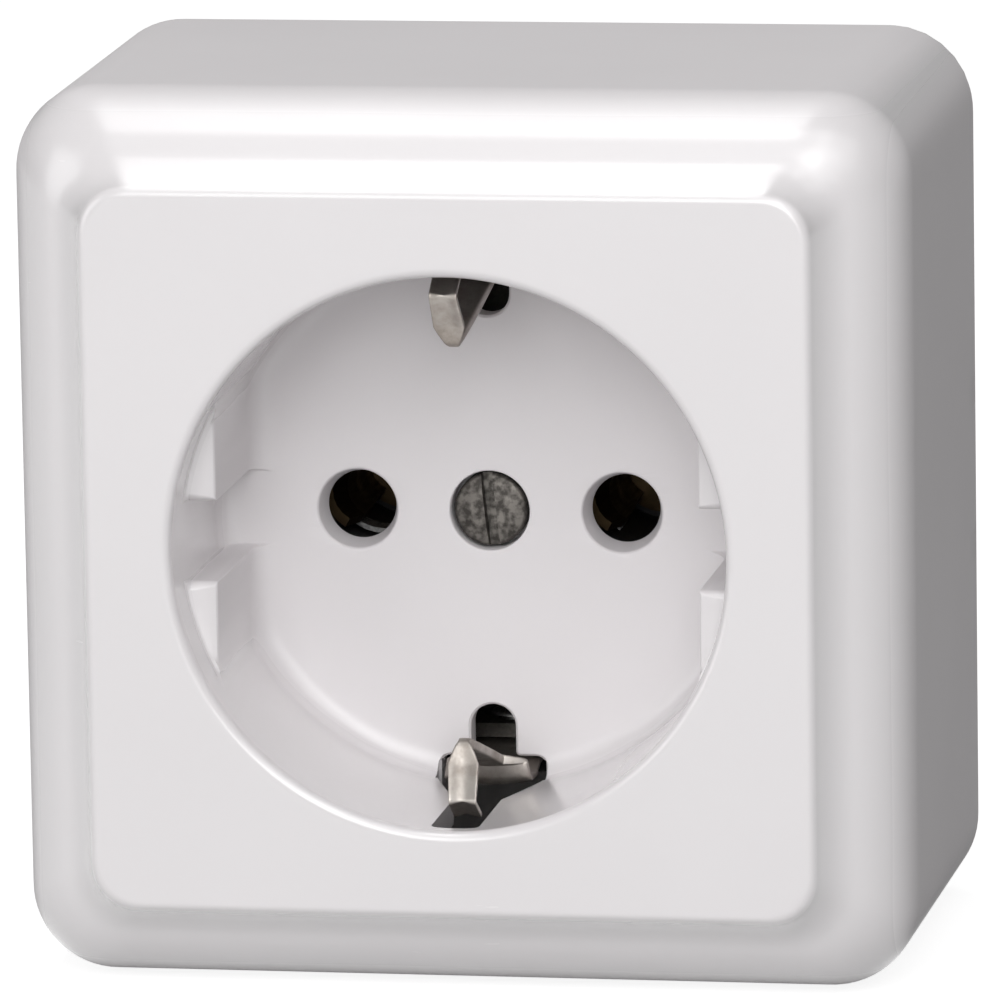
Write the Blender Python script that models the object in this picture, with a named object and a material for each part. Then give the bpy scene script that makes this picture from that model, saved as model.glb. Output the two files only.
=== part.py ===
"""Surface mounted socket outlet for a round two-pin plug with side earth.

Metres. X is across the socket, Z is up, and the wall is the plane y = 0. The front looks towards -Y, so a
height above the wall is counted along -Y. The origin is the centre of the face that lies on the wall.
"""

import math

import bmesh
import bpy
from mathutils import Matrix, Vector

# Clearance between seated pieces, and the plain air gap round a screw's shank
SEAT_GAP = 0.0003
SHANK_GAP = 0.0004

# Cover, outside
BOX_SIDE = 0.0632
BOX_DEPTH = 0.0416
BOX_CORNER = 0.006
SIDE_DRAFT = 0.0003
SHOULDER_RADIUS = 0.0065
SHOULDER_START = math.radians(26)
PANEL_BORDER = 0.0066
PANEL_CORNER = 0.003
PANEL_EDGE_RADIUS = 0.0007
PANEL_EDGE_SLOPE = math.radians(72)
BACK_CHAMFER = 0.0003

# Cover, inside
WALL = 0.002
FACE_WALL = 0.0024
WEB_THICKNESS = 0.0012
WEB_FOOT = 0.012
KNOCKOUT_WIDTH = 0.014
KNOCKOUT_HEIGHT = 0.009
SCORE_WIDTH = 0.001
SCORE_DEPTH = 0.0013

# Plug recess
WELL_RADIUS = 0.0195
WELL_DEPTH = 0.0175
WELL_WALL = 0.0018
WELL_FLOOR = 0.002
LIP_RADIUS = 0.0007
FLOOR_FILLET = 0.0004
RIB_CHORD = 0.017
RIB_SETBACK = 0.004
RIB_CHAMFER = 0.0006
NOTCH_HEIGHT = 0.0057
PIN_PITCH = 0.019
PIN_HOLE_RADIUS = 0.00245
PIN_MOUTH_RADIUS = 0.0029
PIN_MOUTH_DEPTH = 0.0007

# Earth cut-outs in the floor and wall of the recess
EYE_RADIUS = 0.0016
EYE_CENTRE = 0.01545
GATE_HALF_WIDTH = 0.0039
GATE_START = 0.0177
GATE_DEPTH = 0.0015
SLOT_HALF_WIDTH = 0.0017
SLOT_SHOULDER = 0.0052
SLOT_TOP_COVER = 0.0015

# Base plate
BASE_THICKNESS = 0.0022
BASE_INSET = 0.0004
RIDGE_THICKNESS = 0.0012
RIDGE_HEIGHT = 0.003
RIDGE_GATE = 0.017
BOSS_RADIUS = 0.0032
BOSS_HEIGHT = 0.0033
WALL_SLOT_WIDTH = 0.0045
WALL_SLOT_LENGTH = 0.009
WALL_SLOT_X = 0.02
WALL_SLOT_Z = 0.0245
ENTRY_WIDTH = 0.018
ENTRY_HEIGHT = 0.0078
ENTRY_CORNER = 0.00195
ENTRY_Z = 0.0234

# Contact carrier
CARRIER_HALF_X = 0.0245
CARRIER_TOP = 0.0175
CARRIER_BOTTOM = 0.0215
CARRIER_CORNER = 0.003
CARRIER_DECK = 0.009
CARRIER_FLOOR = 0.002
TUBE_BORE = 0.004
TUBE_WALL = 0.0013
BARRIER_THICKNESS = 0.0012
BARRIER_HEIGHT = 0.005
BARRIER_X = 0.0075
BARRIER_START = 0.0065
BARRIER_END = 0.0163
CARRIER_SCREW_X = 0.0175
CARRIER_SCREW_Z = 0.0125
CARRIER_SCREW_SEAT = 0.0028

# Pin contacts
STRIP = 0.0008
JAW_BORE = 0.00225
JAW_WALL = 0.0007
JAW_HEIGHT = 0.0125
JAW_SPREAD = math.radians(62)
JAW_PINCH = 0.00035
JAW_FLARE = 0.0008
FOOT_HALF_WIDTH = 0.0026
FOOT_RISE = 0.000016
RISER_OFFSET = 0.0077
TAB_END = 0.0234
TERMINAL_X = 0.0206
BEND_RADIUS = 0.0012
RING_WALL = 0.00035
RING_HEIGHT = 0.002
RING_START = 0.0075
RING_SPREAD = math.radians(150)

# Earth strip and clips
BRIDGE_THICKNESS = 0.001
BRIDGE_HALF_WIDTH = 0.0037
BRIDGE_END = 0.01725
BRIDGE_UPRIGHT = 0.0052
EARTH_TERMINAL_Z = 0.0095
CLIP_THICKNESS = 0.0005
CLIP_ROOT_HALF_WIDTH = 0.0032
CLIP_NECK_HALF_WIDTH = 0.0012
CLIP_CREST_HALF_WIDTH = 0.0004
CLIP_LEAF_HALF_WIDTH = 0.0011
CLIP_TIP_HALF_WIDTH = 0.00092
CLIP_CREST_SHIFT = 0.00015
CLIP_LEAF_SHIFT = 0.0004
CLIP_TAIL = 0.002
CLIP_SWING = math.radians(5.5)
CREST_REACH = 0.0141
CREST_DEPTH = 0.005
LEAF_SHOULDER = 0.42
LEAF_REACH = 0.0179
LEAF_DEPTH = 0.0026
TIP_REACH = 0.0194
TIP_DEPTH = 0.0047
CREST_FOLD = 0.0003
LEAF_FOLD = 0.0005

# Fasteners
COVER_HEAD_RADIUS = 0.0028
COVER_HEAD_HEIGHT = 0.0022
COVER_SHANK_RADIUS = 0.0019
COVER_HEAD_SUNK = 0.0002
COVER_SEAT_WALL = 0.0015
CLAMP_HEAD_RADIUS = 0.0027
CLAMP_HEAD_HEIGHT = 0.002
CLAMP_SHANK_RADIUS = 0.0016
CLAMP_THICKNESS = 0.001
CLAMP_HALF_LENGTH = 0.0028
CLAMP_LIP = 0.0007
CLAMP_LIP_DROP = 0.0009
CARRIER_HEAD_RADIUS = 0.0027
CARRIER_HEAD_HEIGHT = 0.0019
CARRIER_SHANK_RADIUS = 0.0014
NUT_SIDE = 0.007
NUT_HEIGHT = 0.0032
RIVET_RADIUS = 0.001
RIVET_HEAD_RADIUS = 0.0017
RIVET_HEAD_HEIGHT = 0.0007
DRIVE_SLOT_WIDTH = 0.0008
DRIVE_SLOT_DEPTH = 0.0009
HEAD_RIM_SHARE = 0.2
POINT_SHARE = 0.3
COVER_SLOT_DEGREES = 84
CARRIER_SLOT_DEGREES = 30

# Small edges, and the bends of the clips
SMALL_CORNER = 0.0002
NUT_CORNER = 0.0004
CREST_BEND = 0.0009
LEAF_BEND = 0.0004

# Facets
CORNER_STEPS = 7
WELL_STEPS = 72
ROUND_STEPS = 24
PAST = 0.001
FILLET_ROOM = 0.45
SHARP_ANGLE = math.radians(32)

# Levels above the wall that several pieces share
COVER_BACK = BASE_THICKNESS + SEAT_GAP
FLOOR_FRONT = BOX_DEPTH - WELL_DEPTH
FLOOR_BACK = FLOOR_FRONT - WELL_FLOOR
CARRIER_BACK = BASE_THICKNESS + SEAT_GAP
DECK = CARRIER_BACK + CARRIER_DECK
STRIP_LEVEL = DECK + SEAT_GAP
POCKET_FLOOR = CARRIER_BACK + CARRIER_FLOOR
SCREW_FLOOR = POCKET_FLOOR + PAST / 10
NUT_BACK = DECK - SEAT_GAP / 3 - NUT_HEIGHT
TUBE_TOP = FLOOR_BACK - SEAT_GAP
PIN_X = PIN_PITCH / 2
BOX_HALF = BOX_SIDE / 2
PANEL_HALF = BOX_HALF - PANEL_BORDER
BASE_HALF = BOX_HALF + SIDE_DRAFT - BASE_INSET
COVER_BOSS_RADIUS = PIN_X - TUBE_BORE - TUBE_WALL - SEAT_GAP
COVER_HEAD_TOP = FLOOR_FRONT - COVER_HEAD_SUNK
COVER_SEAT = COVER_HEAD_TOP - COVER_HEAD_HEIGHT - SEAT_GAP
CLIP_REACH = BRIDGE_END + BRIDGE_THICKNESS / 2 + SEAT_GAP + CLIP_THICKNESS / 2
PIVOT_LEVEL = STRIP_LEVEL + BRIDGE_THICKNESS / 2 + BRIDGE_UPRIGHT / 2


def clear_scene():
    for obj in list(bpy.data.objects):
        bpy.data.objects.remove(obj)


def make_material(name, colour, roughness, metallic):
    material = bpy.data.materials.new(name)
    material.use_nodes = True
    shader = material.node_tree.nodes["Principled BSDF"]
    shader.inputs["Base Color"].default_value = (*colour, 1)
    shader.inputs["Roughness"].default_value = roughness
    shader.inputs["Metallic"].default_value = metallic
    return material


def arc(centre, radius, start, end, steps):
    """Points on a circle, as pairs, with angles from the first axis towards the second."""
    angles = [start + (end - start) * step / steps for step in range(steps + 1)]
    return [(centre[0] + radius * math.cos(a), centre[1] + radius * math.sin(a)) for a in angles]


def rounded_square(half_x, half_z, corner, centre=(0, 0), steps=CORNER_STEPS):
    """The outline of a rectangle with rounded corners, anticlockwise as (x, z) pairs."""
    corner = min(corner, 0.98 * half_x, 0.98 * half_z)
    points = []
    for quarter in range(4):
        start = quarter * math.pi / 2
        sign_x = (1, -1, -1, 1)[quarter]
        sign_z = (1, 1, -1, -1)[quarter]
        middle = (centre[0] + sign_x * (half_x - corner), centre[1] + sign_z * (half_z - corner))
        points += arc(middle, corner, start, start + math.pi / 2, steps)
    return points


def filleted(path, radii, steps=4):
    """The path with each inner corner rounded, and the number of the corner that each point is on."""
    points = [Vector(path[0])]
    owners = [0]
    for index in range(1, len(path) - 1):
        before = Vector(path[index - 1])
        corner = Vector(path[index])
        after = Vector(path[index + 1])
        come = (before - corner).normalized()
        leave = (after - corner).normalized()
        half = come.angle(leave) / 2
        if radii[index] == 0 or half > math.radians(89):
            points.append(corner)
            owners.append(index)
            continue
        room = FILLET_ROOM * min((before - corner).length, (after - corner).length)
        reach = min(radii[index] / math.tan(half), room)
        radius = reach * math.tan(half)
        middle = corner + (come + leave).normalized() * radius / math.sin(half)
        first = corner + come * reach - middle
        last = corner + leave * reach - middle
        turn = math.atan2(first.x * last.y - first.y * last.x, first.dot(last))
        for step in range(steps + 1):
            spin = Matrix.Rotation(turn * step / steps, 2)
            points.append(middle + spin @ first)
            owners.append(index)
    points.append(Vector(path[-1]))
    owners.append(len(path) - 1)
    return points, owners


def mesh_object(name, rings, closed_loop=False):
    """Skins rings of equally many points. The ends are capped, or joined to each other in a closed loop."""
    shape = bmesh.new()
    loops = [[shape.verts.new(point) for point in ring] for ring in rings]
    pairs = list(zip(loops, loops[1:]))
    if closed_loop:
        pairs.append((loops[-1], loops[0]))
    else:
        shape.faces.new(loops[0])
        shape.faces.new(loops[-1])
    for lower, upper in pairs:
        count = len(lower)
        for index in range(count):
            after = (index + 1) % count
            shape.faces.new((lower[index], lower[after], upper[after], upper[index]))
    bmesh.ops.recalc_face_normals(shape, faces=shape.faces)
    mesh = bpy.data.meshes.new(name)
    shape.to_mesh(mesh)
    shape.free()
    obj = bpy.data.objects.new(name, mesh)
    bpy.context.collection.objects.link(obj)
    return obj


def place(obj, x, height, z):
    obj.location = (x, -height, z)
    return obj


def level_ring(outline, height):
    return [Vector((x, -height, z)) for x, z in outline]


def prism(name, outline, low, high):
    """An (x, z) outline carried from one height above the wall to another."""
    return mesh_object(name, [level_ring(outline, low), level_ring(outline, high)])


def prism_across(name, outline, low, high):
    """An (x, height) outline carried along Z."""
    return mesh_object(name, [[Vector((x, -height, z)) for x, height in outline] for z in (low, high)])


def turned(name, profile, steps=ROUND_STEPS, closed_loop=False):
    """A (radius, height) profile turned about the axis that stands on the wall."""
    rings = []
    for radius, height in profile:
        spins = [2 * math.pi * step / steps for step in range(steps)]
        rings.append([Vector((radius * math.cos(a), -height, radius * math.sin(a))) for a in spins])
    return mesh_object(name, rings, closed_loop)


def bar(name, radius, low, high, x=0, z=0, steps=ROUND_STEPS):
    """A plain cylinder that stands on the wall at (x, z), from one height to another."""
    return place(turned(name, [(radius, low), (radius, high)], steps), x, 0, z)


def ribbon(name, path, half_widths, thickness, folds=None, radii=None, shifts=None, steps=4):
    """A bent strip. The path holds (along, height) pairs, and the strip's width lies along X.

    A fold pushes the strip's middle line out to its left, so that the section is a shallow V. A shift sets
    the strip to one side.
    """
    flat = folds is None
    folds = folds or [0] * len(path)
    shifts = shifts or [0] * len(path)
    points, owners = filleted(path, radii or [0] * len(path), steps)
    rings = []
    for index, point in enumerate(points):
        before = points[max(index - 1, 0)]
        after = points[min(index + 1, len(points) - 1)]
        come = (point - before).normalized() if index else (after - point).normalized()
        leave = (after - point).normalized() if index < len(points) - 1 else come
        along = (come + leave).normalized()
        side = Vector((-along.y, along.x)) / max(along.dot(come), 0.5)
        half = half_widths[owners[index]]
        fold = folds[owners[index]]
        shift = shifts[owners[index]]
        section = []
        for across, lift in ((-half, -1), (0, -1), (half, -1), (half, 1), (0, 1), (-half, 1)):
            if flat and across == 0:
                continue
            offset = side * (lift * thickness / 2 + (fold if across == 0 else 0))
            section.append(Vector((across + shift, -(point.y + offset.y), point.x + offset.x)))
        rings.append(section)
    return mesh_object(name, rings)


def combine(target, tools, operation):
    """Joins the tools to the target or cuts them from it, and keeps only the result."""
    for tool in tools:
        tool.hide_render = True
        modifier = target.modifiers.new(tool.name, "BOOLEAN")
        modifier.operation = operation
        modifier.object = tool
    graph = bpy.context.evaluated_depsgraph_get()
    mesh = bpy.data.meshes.new_from_object(target.evaluated_get(graph))
    target.modifiers.clear()
    target.data = mesh
    for tool in tools:
        bpy.data.objects.remove(tool)
    return target


def finish(obj, material, parent):
    obj.data.materials.clear()
    obj.data.materials.append(material)
    obj.data.shade_smooth()
    obj.data.set_sharp_from_angle(angle=SHARP_ANGLE)
    obj.parent = parent
    return obj


def corner_radius(half):
    """The cover's corners open out evenly from the panel's to the box's."""
    share = (half - PANEL_HALF) / (BOX_HALF - PANEL_HALF)
    return PANEL_CORNER + (BOX_CORNER - PANEL_CORNER) * share


def cover_section():
    """Arcs of the cover's front edge, in (half width, depth behind the panel's face).

    It gives the shoulder's centre, the cove's centre and radius, and the panel edge's centre.
    """
    start, slope = SHOULDER_START, PANEL_EDGE_SLOPE
    shoulder_x = BOX_HALF - SHOULDER_RADIUS
    junction_x = shoulder_x + SHOULDER_RADIUS * math.sin(start)
    edge_reach = PANEL_EDGE_RADIUS * math.sin(slope)
    cove = (junction_x - PANEL_HALF - edge_reach) / (math.sin(slope) - math.sin(start))
    edge_y = PANEL_EDGE_RADIUS
    meet_y = edge_y - PANEL_EDGE_RADIUS * math.cos(slope)
    junction_y = meet_y + cove * (math.cos(start) - math.cos(slope))
    shoulder = (shoulder_x, junction_y + SHOULDER_RADIUS * math.cos(start))
    cove_centre = (junction_x + cove * math.sin(start), junction_y - cove * math.cos(start))
    return shoulder, cove_centre, cove, (PANEL_HALF, edge_y)


def swept(centre, radius, tilts):
    """Points of a section arc whose surface leans by each tilt. A negative radius makes the arc hollow."""
    return [(centre[0] + radius * math.sin(tilt), centre[1] - radius * math.cos(tilt)) for tilt in tilts]


def spread(first, last, steps):
    return [first + (last - first) * step / steps for step in range(steps + 1)]


def outer_section():
    shoulder, cove_centre, cove, edge = cover_section()
    points = swept(shoulder, SHOULDER_RADIUS, spread(math.pi / 2, SHOULDER_START, 8))
    points += swept(cove_centre, -cove, spread(SHOULDER_START, PANEL_EDGE_SLOPE, 5)[1:])
    points += swept(edge, PANEL_EDGE_RADIUS, spread(PANEL_EDGE_SLOPE, 0, 3)[1:])
    return points


def inner_section():
    """The same arcs moved in by the wall, as far as the face's thickness lets them run."""
    shoulder, cove_centre, cove, _ = cover_section()
    inner_cove = cove + WALL
    last = math.acos(min(1, max(-1, (FACE_WALL - cove_centre[1]) / inner_cove)))
    points = swept(shoulder, SHOULDER_RADIUS - WALL, spread(math.pi / 2, SHOULDER_START, 5))
    if last > SHOULDER_START:
        points += swept(cove_centre, -inner_cove, spread(SHOULDER_START, last, 3)[1:])
    return points


def cover_shell():
    back_half = BOX_HALF + SIDE_DRAFT
    sections = [(back_half - BACK_CHAMFER, BOX_DEPTH - COVER_BACK)]
    sections.append((back_half, BOX_DEPTH - COVER_BACK - BACK_CHAMFER))
    sections += outer_section()
    rings = []
    for half, depth in sections:
        rings.append(level_ring(rounded_square(half, half, corner_radius(half)), BOX_DEPTH - depth))
    return mesh_object("cover", rings)


def cover_cavity():
    back_half = BOX_HALF + SIDE_DRAFT - WALL
    sections = [(back_half, BOX_DEPTH - COVER_BACK + PAST), (back_half, BOX_DEPTH - COVER_BACK)]
    sections += inner_section()
    rings = []
    for half, depth in sections:
        corner = max(corner_radius(half + WALL) - WALL, WALL / 2)
        rings.append(level_ring(rounded_square(half, half, corner), BOX_DEPTH - depth))
    return mesh_object("cavity", rings)


def diagonal_reach(section, depth):
    """How far the cover's corner reaches from the middle at this depth, along its diagonal."""
    halves = [half for half, level in section if level <= depth] or [section[-1][0]]
    half = max(halves)
    return (half - PANEL_CORNER) * math.sqrt(2) + PANEL_CORNER


def corner_web(turn):
    """A stiffening web from the recess to a corner, with its outer end sunk in the wall."""
    inner = inner_section()
    start = WELL_RADIUS + WELL_WALL / 2
    foot = BOX_DEPTH - WEB_FOOT
    outline = [(start, foot)]
    for depth in (WEB_FOOT, (WEB_FOOT + FACE_WALL) / 2, FACE_WALL):
        outline.append((diagonal_reach(inner, depth) + WALL / 2, BOX_DEPTH - max(depth, FACE_WALL / 2)))
    outline.append((start, BOX_DEPTH - FACE_WALL / 2))
    web = prism_across("web", outline, -WEB_THICKNESS / 2, WEB_THICKNESS / 2)
    web.data.transform(Matrix.Rotation(turn, 4, "Y"))
    return web


def well_cutter():
    lip = (WELL_RADIUS + LIP_RADIUS, BOX_DEPTH - LIP_RADIUS)
    corner = (WELL_RADIUS - FLOOR_FILLET, FLOOR_FRONT + FLOOR_FILLET)
    profile = arc(corner, FLOOR_FILLET, -math.pi / 2, 0, 2)
    profile += arc(lip, LIP_RADIUS, math.pi, math.radians(100), 4)
    profile.append((lip[0], BOX_DEPTH + PAST / 10))
    profile.append((lip[0], BOX_DEPTH + PAST))
    return turned("well", profile, WELL_STEPS)


def rib(side, level):
    """One half of a chord rib, beside the guide notch. Side and level are 1 or -1."""
    rings = []
    top = BOX_DEPTH - RIB_SETBACK
    buried = WELL_RADIUS + WELL_WALL / 2
    for height, chamfer in ((FLOOR_FRONT - WELL_FLOOR / 2, 0), (top - RIB_CHAMFER, 0), (top, RIB_CHAMFER)):
        chord = RIB_CHORD + chamfer / 2
        first = math.asin((NOTCH_HEIGHT / 2 + chamfer) / buried)
        last = math.acos(chord / buried)
        outline = [(chord, buried * math.sin(first))]
        outline += arc((0, 0), buried, first, last, 6)
        rings.append(level_ring([(side * x, level * z) for x, z in outline], height))
    return mesh_object("rib", rings)


def pin_hole(x):
    profile = [(PIN_HOLE_RADIUS, FLOOR_BACK - PAST)]
    profile.append((PIN_HOLE_RADIUS, FLOOR_FRONT - PIN_MOUTH_DEPTH))
    profile.append((PIN_MOUTH_RADIUS, FLOOR_FRONT))
    profile.append((PIN_MOUTH_RADIUS, FLOOR_FRONT + PAST))
    return place(turned("pin_hole", profile, 32), x, 0, 0)


def earth_gate(level):
    """The cut-out in the recess floor: a round eye, and a wide gate at the wall."""
    far = WELL_RADIUS + WELL_WALL + PAST
    eye = arc((0, EYE_CENTRE), EYE_RADIUS, 0, -math.pi, 10)
    outline = [(GATE_HALF_WIDTH, far), (GATE_HALF_WIDTH, GATE_START), (EYE_RADIUS, GATE_START)]
    outline += eye
    outline += [(-EYE_RADIUS, GATE_START), (-GATE_HALF_WIDTH, GATE_START), (-GATE_HALF_WIDTH, far)]
    outline = [(x, level * z) for x, z in outline]
    return prism("gate", outline, FLOOR_BACK - PAST, FLOOR_FRONT + GATE_DEPTH)


def tip_at_full_swing():
    """How far a clip's tip reaches from the middle when a plug's earth contact pushes it out."""
    along = TIP_REACH - CLIP_REACH
    height = BOX_DEPTH - TIP_DEPTH - PIVOT_LEVEL
    reach = along * math.cos(CLIP_SWING) + height * math.sin(CLIP_SWING)
    return CLIP_REACH + reach + CLIP_THICKNESS / 2


def earth_slot(level):
    """The slot in the recess wall, narrow at the front and wide where it meets the floor's gate."""
    low = FLOOR_FRONT - WELL_FLOOR / 2
    gate = FLOOR_FRONT + GATE_DEPTH
    shoulder = gate + SLOT_SHOULDER
    top = BOX_DEPTH - SLOT_TOP_COVER
    half = [(GATE_HALF_WIDTH, low), (GATE_HALF_WIDTH, gate)]
    half += [(SLOT_HALF_WIDTH, shoulder), (SLOT_HALF_WIDTH, top)]
    outline = half + [(-x, height) for x, height in reversed(half)]
    near = WELL_RADIUS - PAST * 1.5
    far = max(WELL_RADIUS + WELL_WALL + PAST / 2, tip_at_full_swing() + SEAT_GAP)
    return prism_across("slot", outline, *sorted((level * near, level * far)))


def knockout_score(level):
    """The arch that thins the wall from inside, so that a cable entry breaks out cleanly."""
    arch = []
    for inset in (0, SCORE_WIDTH):
        radius = KNOCKOUT_WIDTH / 2 - inset
        top = KNOCKOUT_HEIGHT - KNOCKOUT_WIDTH / 2
        half = [(radius, -PAST)] + arc((0, top), radius, 0, math.pi, 12) + [(-radius, -PAST)]
        arch.append([(x, COVER_BACK + height) for x, height in half])
    outline = arch[0] + arch[1][::-1]
    inner = BOX_HALF + SIDE_DRAFT - WALL
    return prism_across("score", outline, *sorted((level * (inner - PAST), level * (inner + SCORE_DEPTH))))


def make_cover():
    cover = combine(cover_shell(), [cover_cavity()], "DIFFERENCE")
    cup = bar("cup", WELL_RADIUS + WELL_WALL, FLOOR_BACK, BOX_DEPTH - FACE_WALL / 2, steps=WELL_STEPS)
    boss_end = COVER_SEAT - COVER_SEAT_WALL
    boss = bar("boss", COVER_BOSS_RADIUS, boss_end, FLOOR_FRONT - WELL_FLOOR / 2)
    webs = [corner_web(math.radians(45 + 90 * quarter)) for quarter in range(4)]
    combine(cover, [cup, boss] + webs, "UNION")
    combine(cover, [well_cutter()], "DIFFERENCE")
    combine(cover, [rib(side, level) for side in (1, -1) for level in (1, -1)], "UNION")
    head_hole = COVER_HEAD_RADIUS + SEAT_GAP
    shank_hole = COVER_SHANK_RADIUS + SHANK_GAP
    profile = [(shank_hole, boss_end - PAST), (shank_hole, COVER_SEAT)]
    profile += [(head_hole, COVER_SEAT), (head_hole, FLOOR_FRONT + PAST)]
    cuts = [turned("screw_hole", profile, 32), pin_hole(PIN_X), pin_hole(-PIN_X)]
    for level in (1, -1):
        cuts += [earth_gate(level), earth_slot(level), knockout_score(level)]
    return combine(cover, cuts, "DIFFERENCE")


def locating_ridge(foot):
    """The ridge that the cover slips over, left open at the two cable entries."""
    outer = BOX_HALF + SIDE_DRAFT - WALL - SEAT_GAP
    inner = outer - RIDGE_THICKNESS
    top = BASE_THICKNESS + RIDGE_HEIGHT
    loop = []
    for half, height in ((outer, foot), (outer, top), (inner, top), (inner, foot)):
        corner = max(corner_radius(half + WALL) - WALL, WALL / 2)
        loop.append(level_ring(rounded_square(half, half, corner), height))
    ridge = mesh_object("ridge", loop, closed_loop=True)
    gates = []
    for level in (1, -1):
        middle = (0, level * outer)
        outline = rounded_square(RIDGE_GATE / 2, RIDGE_THICKNESS * 2, SMALL_CORNER, middle, 1)
        gates.append(prism("gate", outline, BASE_THICKNESS - BACK_CHAMFER / 3, top + PAST))
    return combine(ridge, gates, "DIFFERENCE")


def make_base_plate():
    corner = corner_radius(BASE_HALF)
    edge = BACK_CHAMFER
    rings = [level_ring(rounded_square(BASE_HALF, BASE_HALF, corner), 0)]
    rings.append(level_ring(rounded_square(BASE_HALF, BASE_HALF, corner), BASE_THICKNESS - edge))
    face = rounded_square(BASE_HALF - edge, BASE_HALF - edge, corner - edge)
    rings.append(level_ring(face, BASE_THICKNESS))
    plate = mesh_object("base_plate", rings)
    foot = BASE_THICKNESS / 2
    boss_top = BASE_THICKNESS + BOSS_HEIGHT
    joined = [locating_ridge(foot)]
    cuts = []
    for side in (1, -1):
        screw = (-side * CARRIER_SCREW_X, side * CARRIER_SCREW_Z)
        joined.append(bar("boss", BOSS_RADIUS, foot, boss_top, *screw))
        cuts.append(bar("pilot", CARRIER_SHANK_RADIUS + SEAT_GAP, foot, boss_top + PAST, *screw))
        slot = (-side * WALL_SLOT_X, side * WALL_SLOT_Z)
        half = WALL_SLOT_WIDTH / 2
        outline = rounded_square(WALL_SLOT_LENGTH / 2, half, half, slot)
        cuts.append(prism("wall_slot", outline, -PAST, BASE_THICKNESS + PAST))
    entry = rounded_square(ENTRY_WIDTH / 2, ENTRY_HEIGHT / 2, ENTRY_CORNER, (0, ENTRY_Z))
    cuts.append(prism("entry", entry, -PAST, BASE_THICKNESS + PAST))
    combine(plate, joined, "UNION")
    return combine(plate, cuts, "DIFFERENCE")


def carrier_screw_hole(side):
    """One stepped hole for a carrier screw: the base plate's boss below, the shank, and the head above."""
    boss = BOSS_RADIUS + SEAT_GAP
    shank = CARRIER_SHANK_RADIUS + SHANK_GAP
    head = CARRIER_HEAD_RADIUS + SHANK_GAP
    step = CARRIER_BACK + BOSS_HEIGHT
    seat = DECK - CARRIER_SCREW_SEAT
    profile = [(boss, CARRIER_BACK - PAST), (boss, step), (shank, step), (shank, seat), (head, seat)]
    profile.append((head, DECK + PAST))
    hole = turned("carrier_screw_hole", profile)
    return place(hole, -side * CARRIER_SCREW_X, 0, side * CARRIER_SCREW_Z)


def contact_trench(side):
    """The trench that leads a contact's foot from its tube to the terminal."""
    far = PIN_X + RISER_OFFSET + STRIP / 2 + SEAT_GAP
    half_z = FOOT_HALF_WIDTH + SEAT_GAP + SHANK_GAP
    middle = (side * (PIN_X + far) / 2, 0)
    outline = rounded_square((far - PIN_X) / 2, half_z, SMALL_CORNER, middle, 1)
    return prism("trench", outline, POCKET_FLOOR - SEAT_GAP / 10, DECK + PAST / 20)


def make_carrier():
    half_z = (CARRIER_TOP + CARRIER_BOTTOM) / 2
    outline = rounded_square(CARRIER_HALF_X, half_z, CARRIER_CORNER, (0, CARRIER_TOP - half_z))
    carrier = prism("contact_carrier", outline, CARRIER_BACK, DECK)
    joined = []
    cuts = []
    clamp_hole = CLAMP_SHANK_RADIUS + SHANK_GAP
    barrier_half = (BARRIER_END - BARRIER_START) / 2
    for side in (1, -1):
        joined.append(bar("tube", TUBE_BORE + TUBE_WALL, DECK - PAST, TUBE_TOP, side * PIN_X, steps=32))
        cuts.append(bar("bore", TUBE_BORE, POCKET_FLOOR, TUBE_TOP + PAST, side * PIN_X, steps=32))
        cuts.append(bar("terminal_hole", clamp_hole, SCREW_FLOOR, DECK + PAST, side * TERMINAL_X))
        cuts.append(contact_trench(side))
        cuts.append(carrier_screw_hole(side))
        for level in (1, -1):
            middle = (side * BARRIER_X, level * (BARRIER_START + barrier_half))
            outline = rounded_square(BARRIER_THICKNESS / 2, barrier_half, SMALL_CORNER, middle, 1)
            joined.append(prism("barrier", outline, DECK - PAST, DECK + BARRIER_HEIGHT))
    nut_half = NUT_SIDE / 2 + SEAT_GAP
    nut_floor = NUT_BACK - SEAT_GAP
    outline = rounded_square(nut_half, nut_half, SMALL_CORNER, steps=1)
    cuts.append(prism("nut_pocket", outline, nut_floor, DECK + PAST))
    cuts.append(bar("shank_hole", COVER_SHANK_RADIUS + SHANK_GAP, SCREW_FLOOR, nut_floor + PAST))
    cuts.append(bar("earth_hole", clamp_hole, SCREW_FLOOR, DECK + PAST, z=EARTH_TERMINAL_Z))
    combine(carrier, joined, "UNION")
    return combine(carrier, cuts, "DIFFERENCE")


def jaw(side):
    """Half of the socket that grips a pin: part of a tube, pinched in the middle and flared at its mouth."""
    low = POCKET_FLOOR + SEAT_GAP + STRIP / 4
    stations = ((0, JAW_PINCH), (0.25, JAW_PINCH), (0.62, 0), (0.85, JAW_PINCH / 4), (1, JAW_FLARE))
    inside = arc((0, 0), JAW_BORE, -JAW_SPREAD, JAW_SPREAD, 8)
    outside = arc((0, 0), JAW_BORE + JAW_WALL, JAW_SPREAD, -JAW_SPREAD, 8)
    rings = []
    for share, shift in stations:
        outline = [(side * (x + shift), z) for x, z in inside + outside]
        rings.append(level_ring(outline, low + share * JAW_HEIGHT))
    return mesh_object("jaw", rings)


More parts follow.
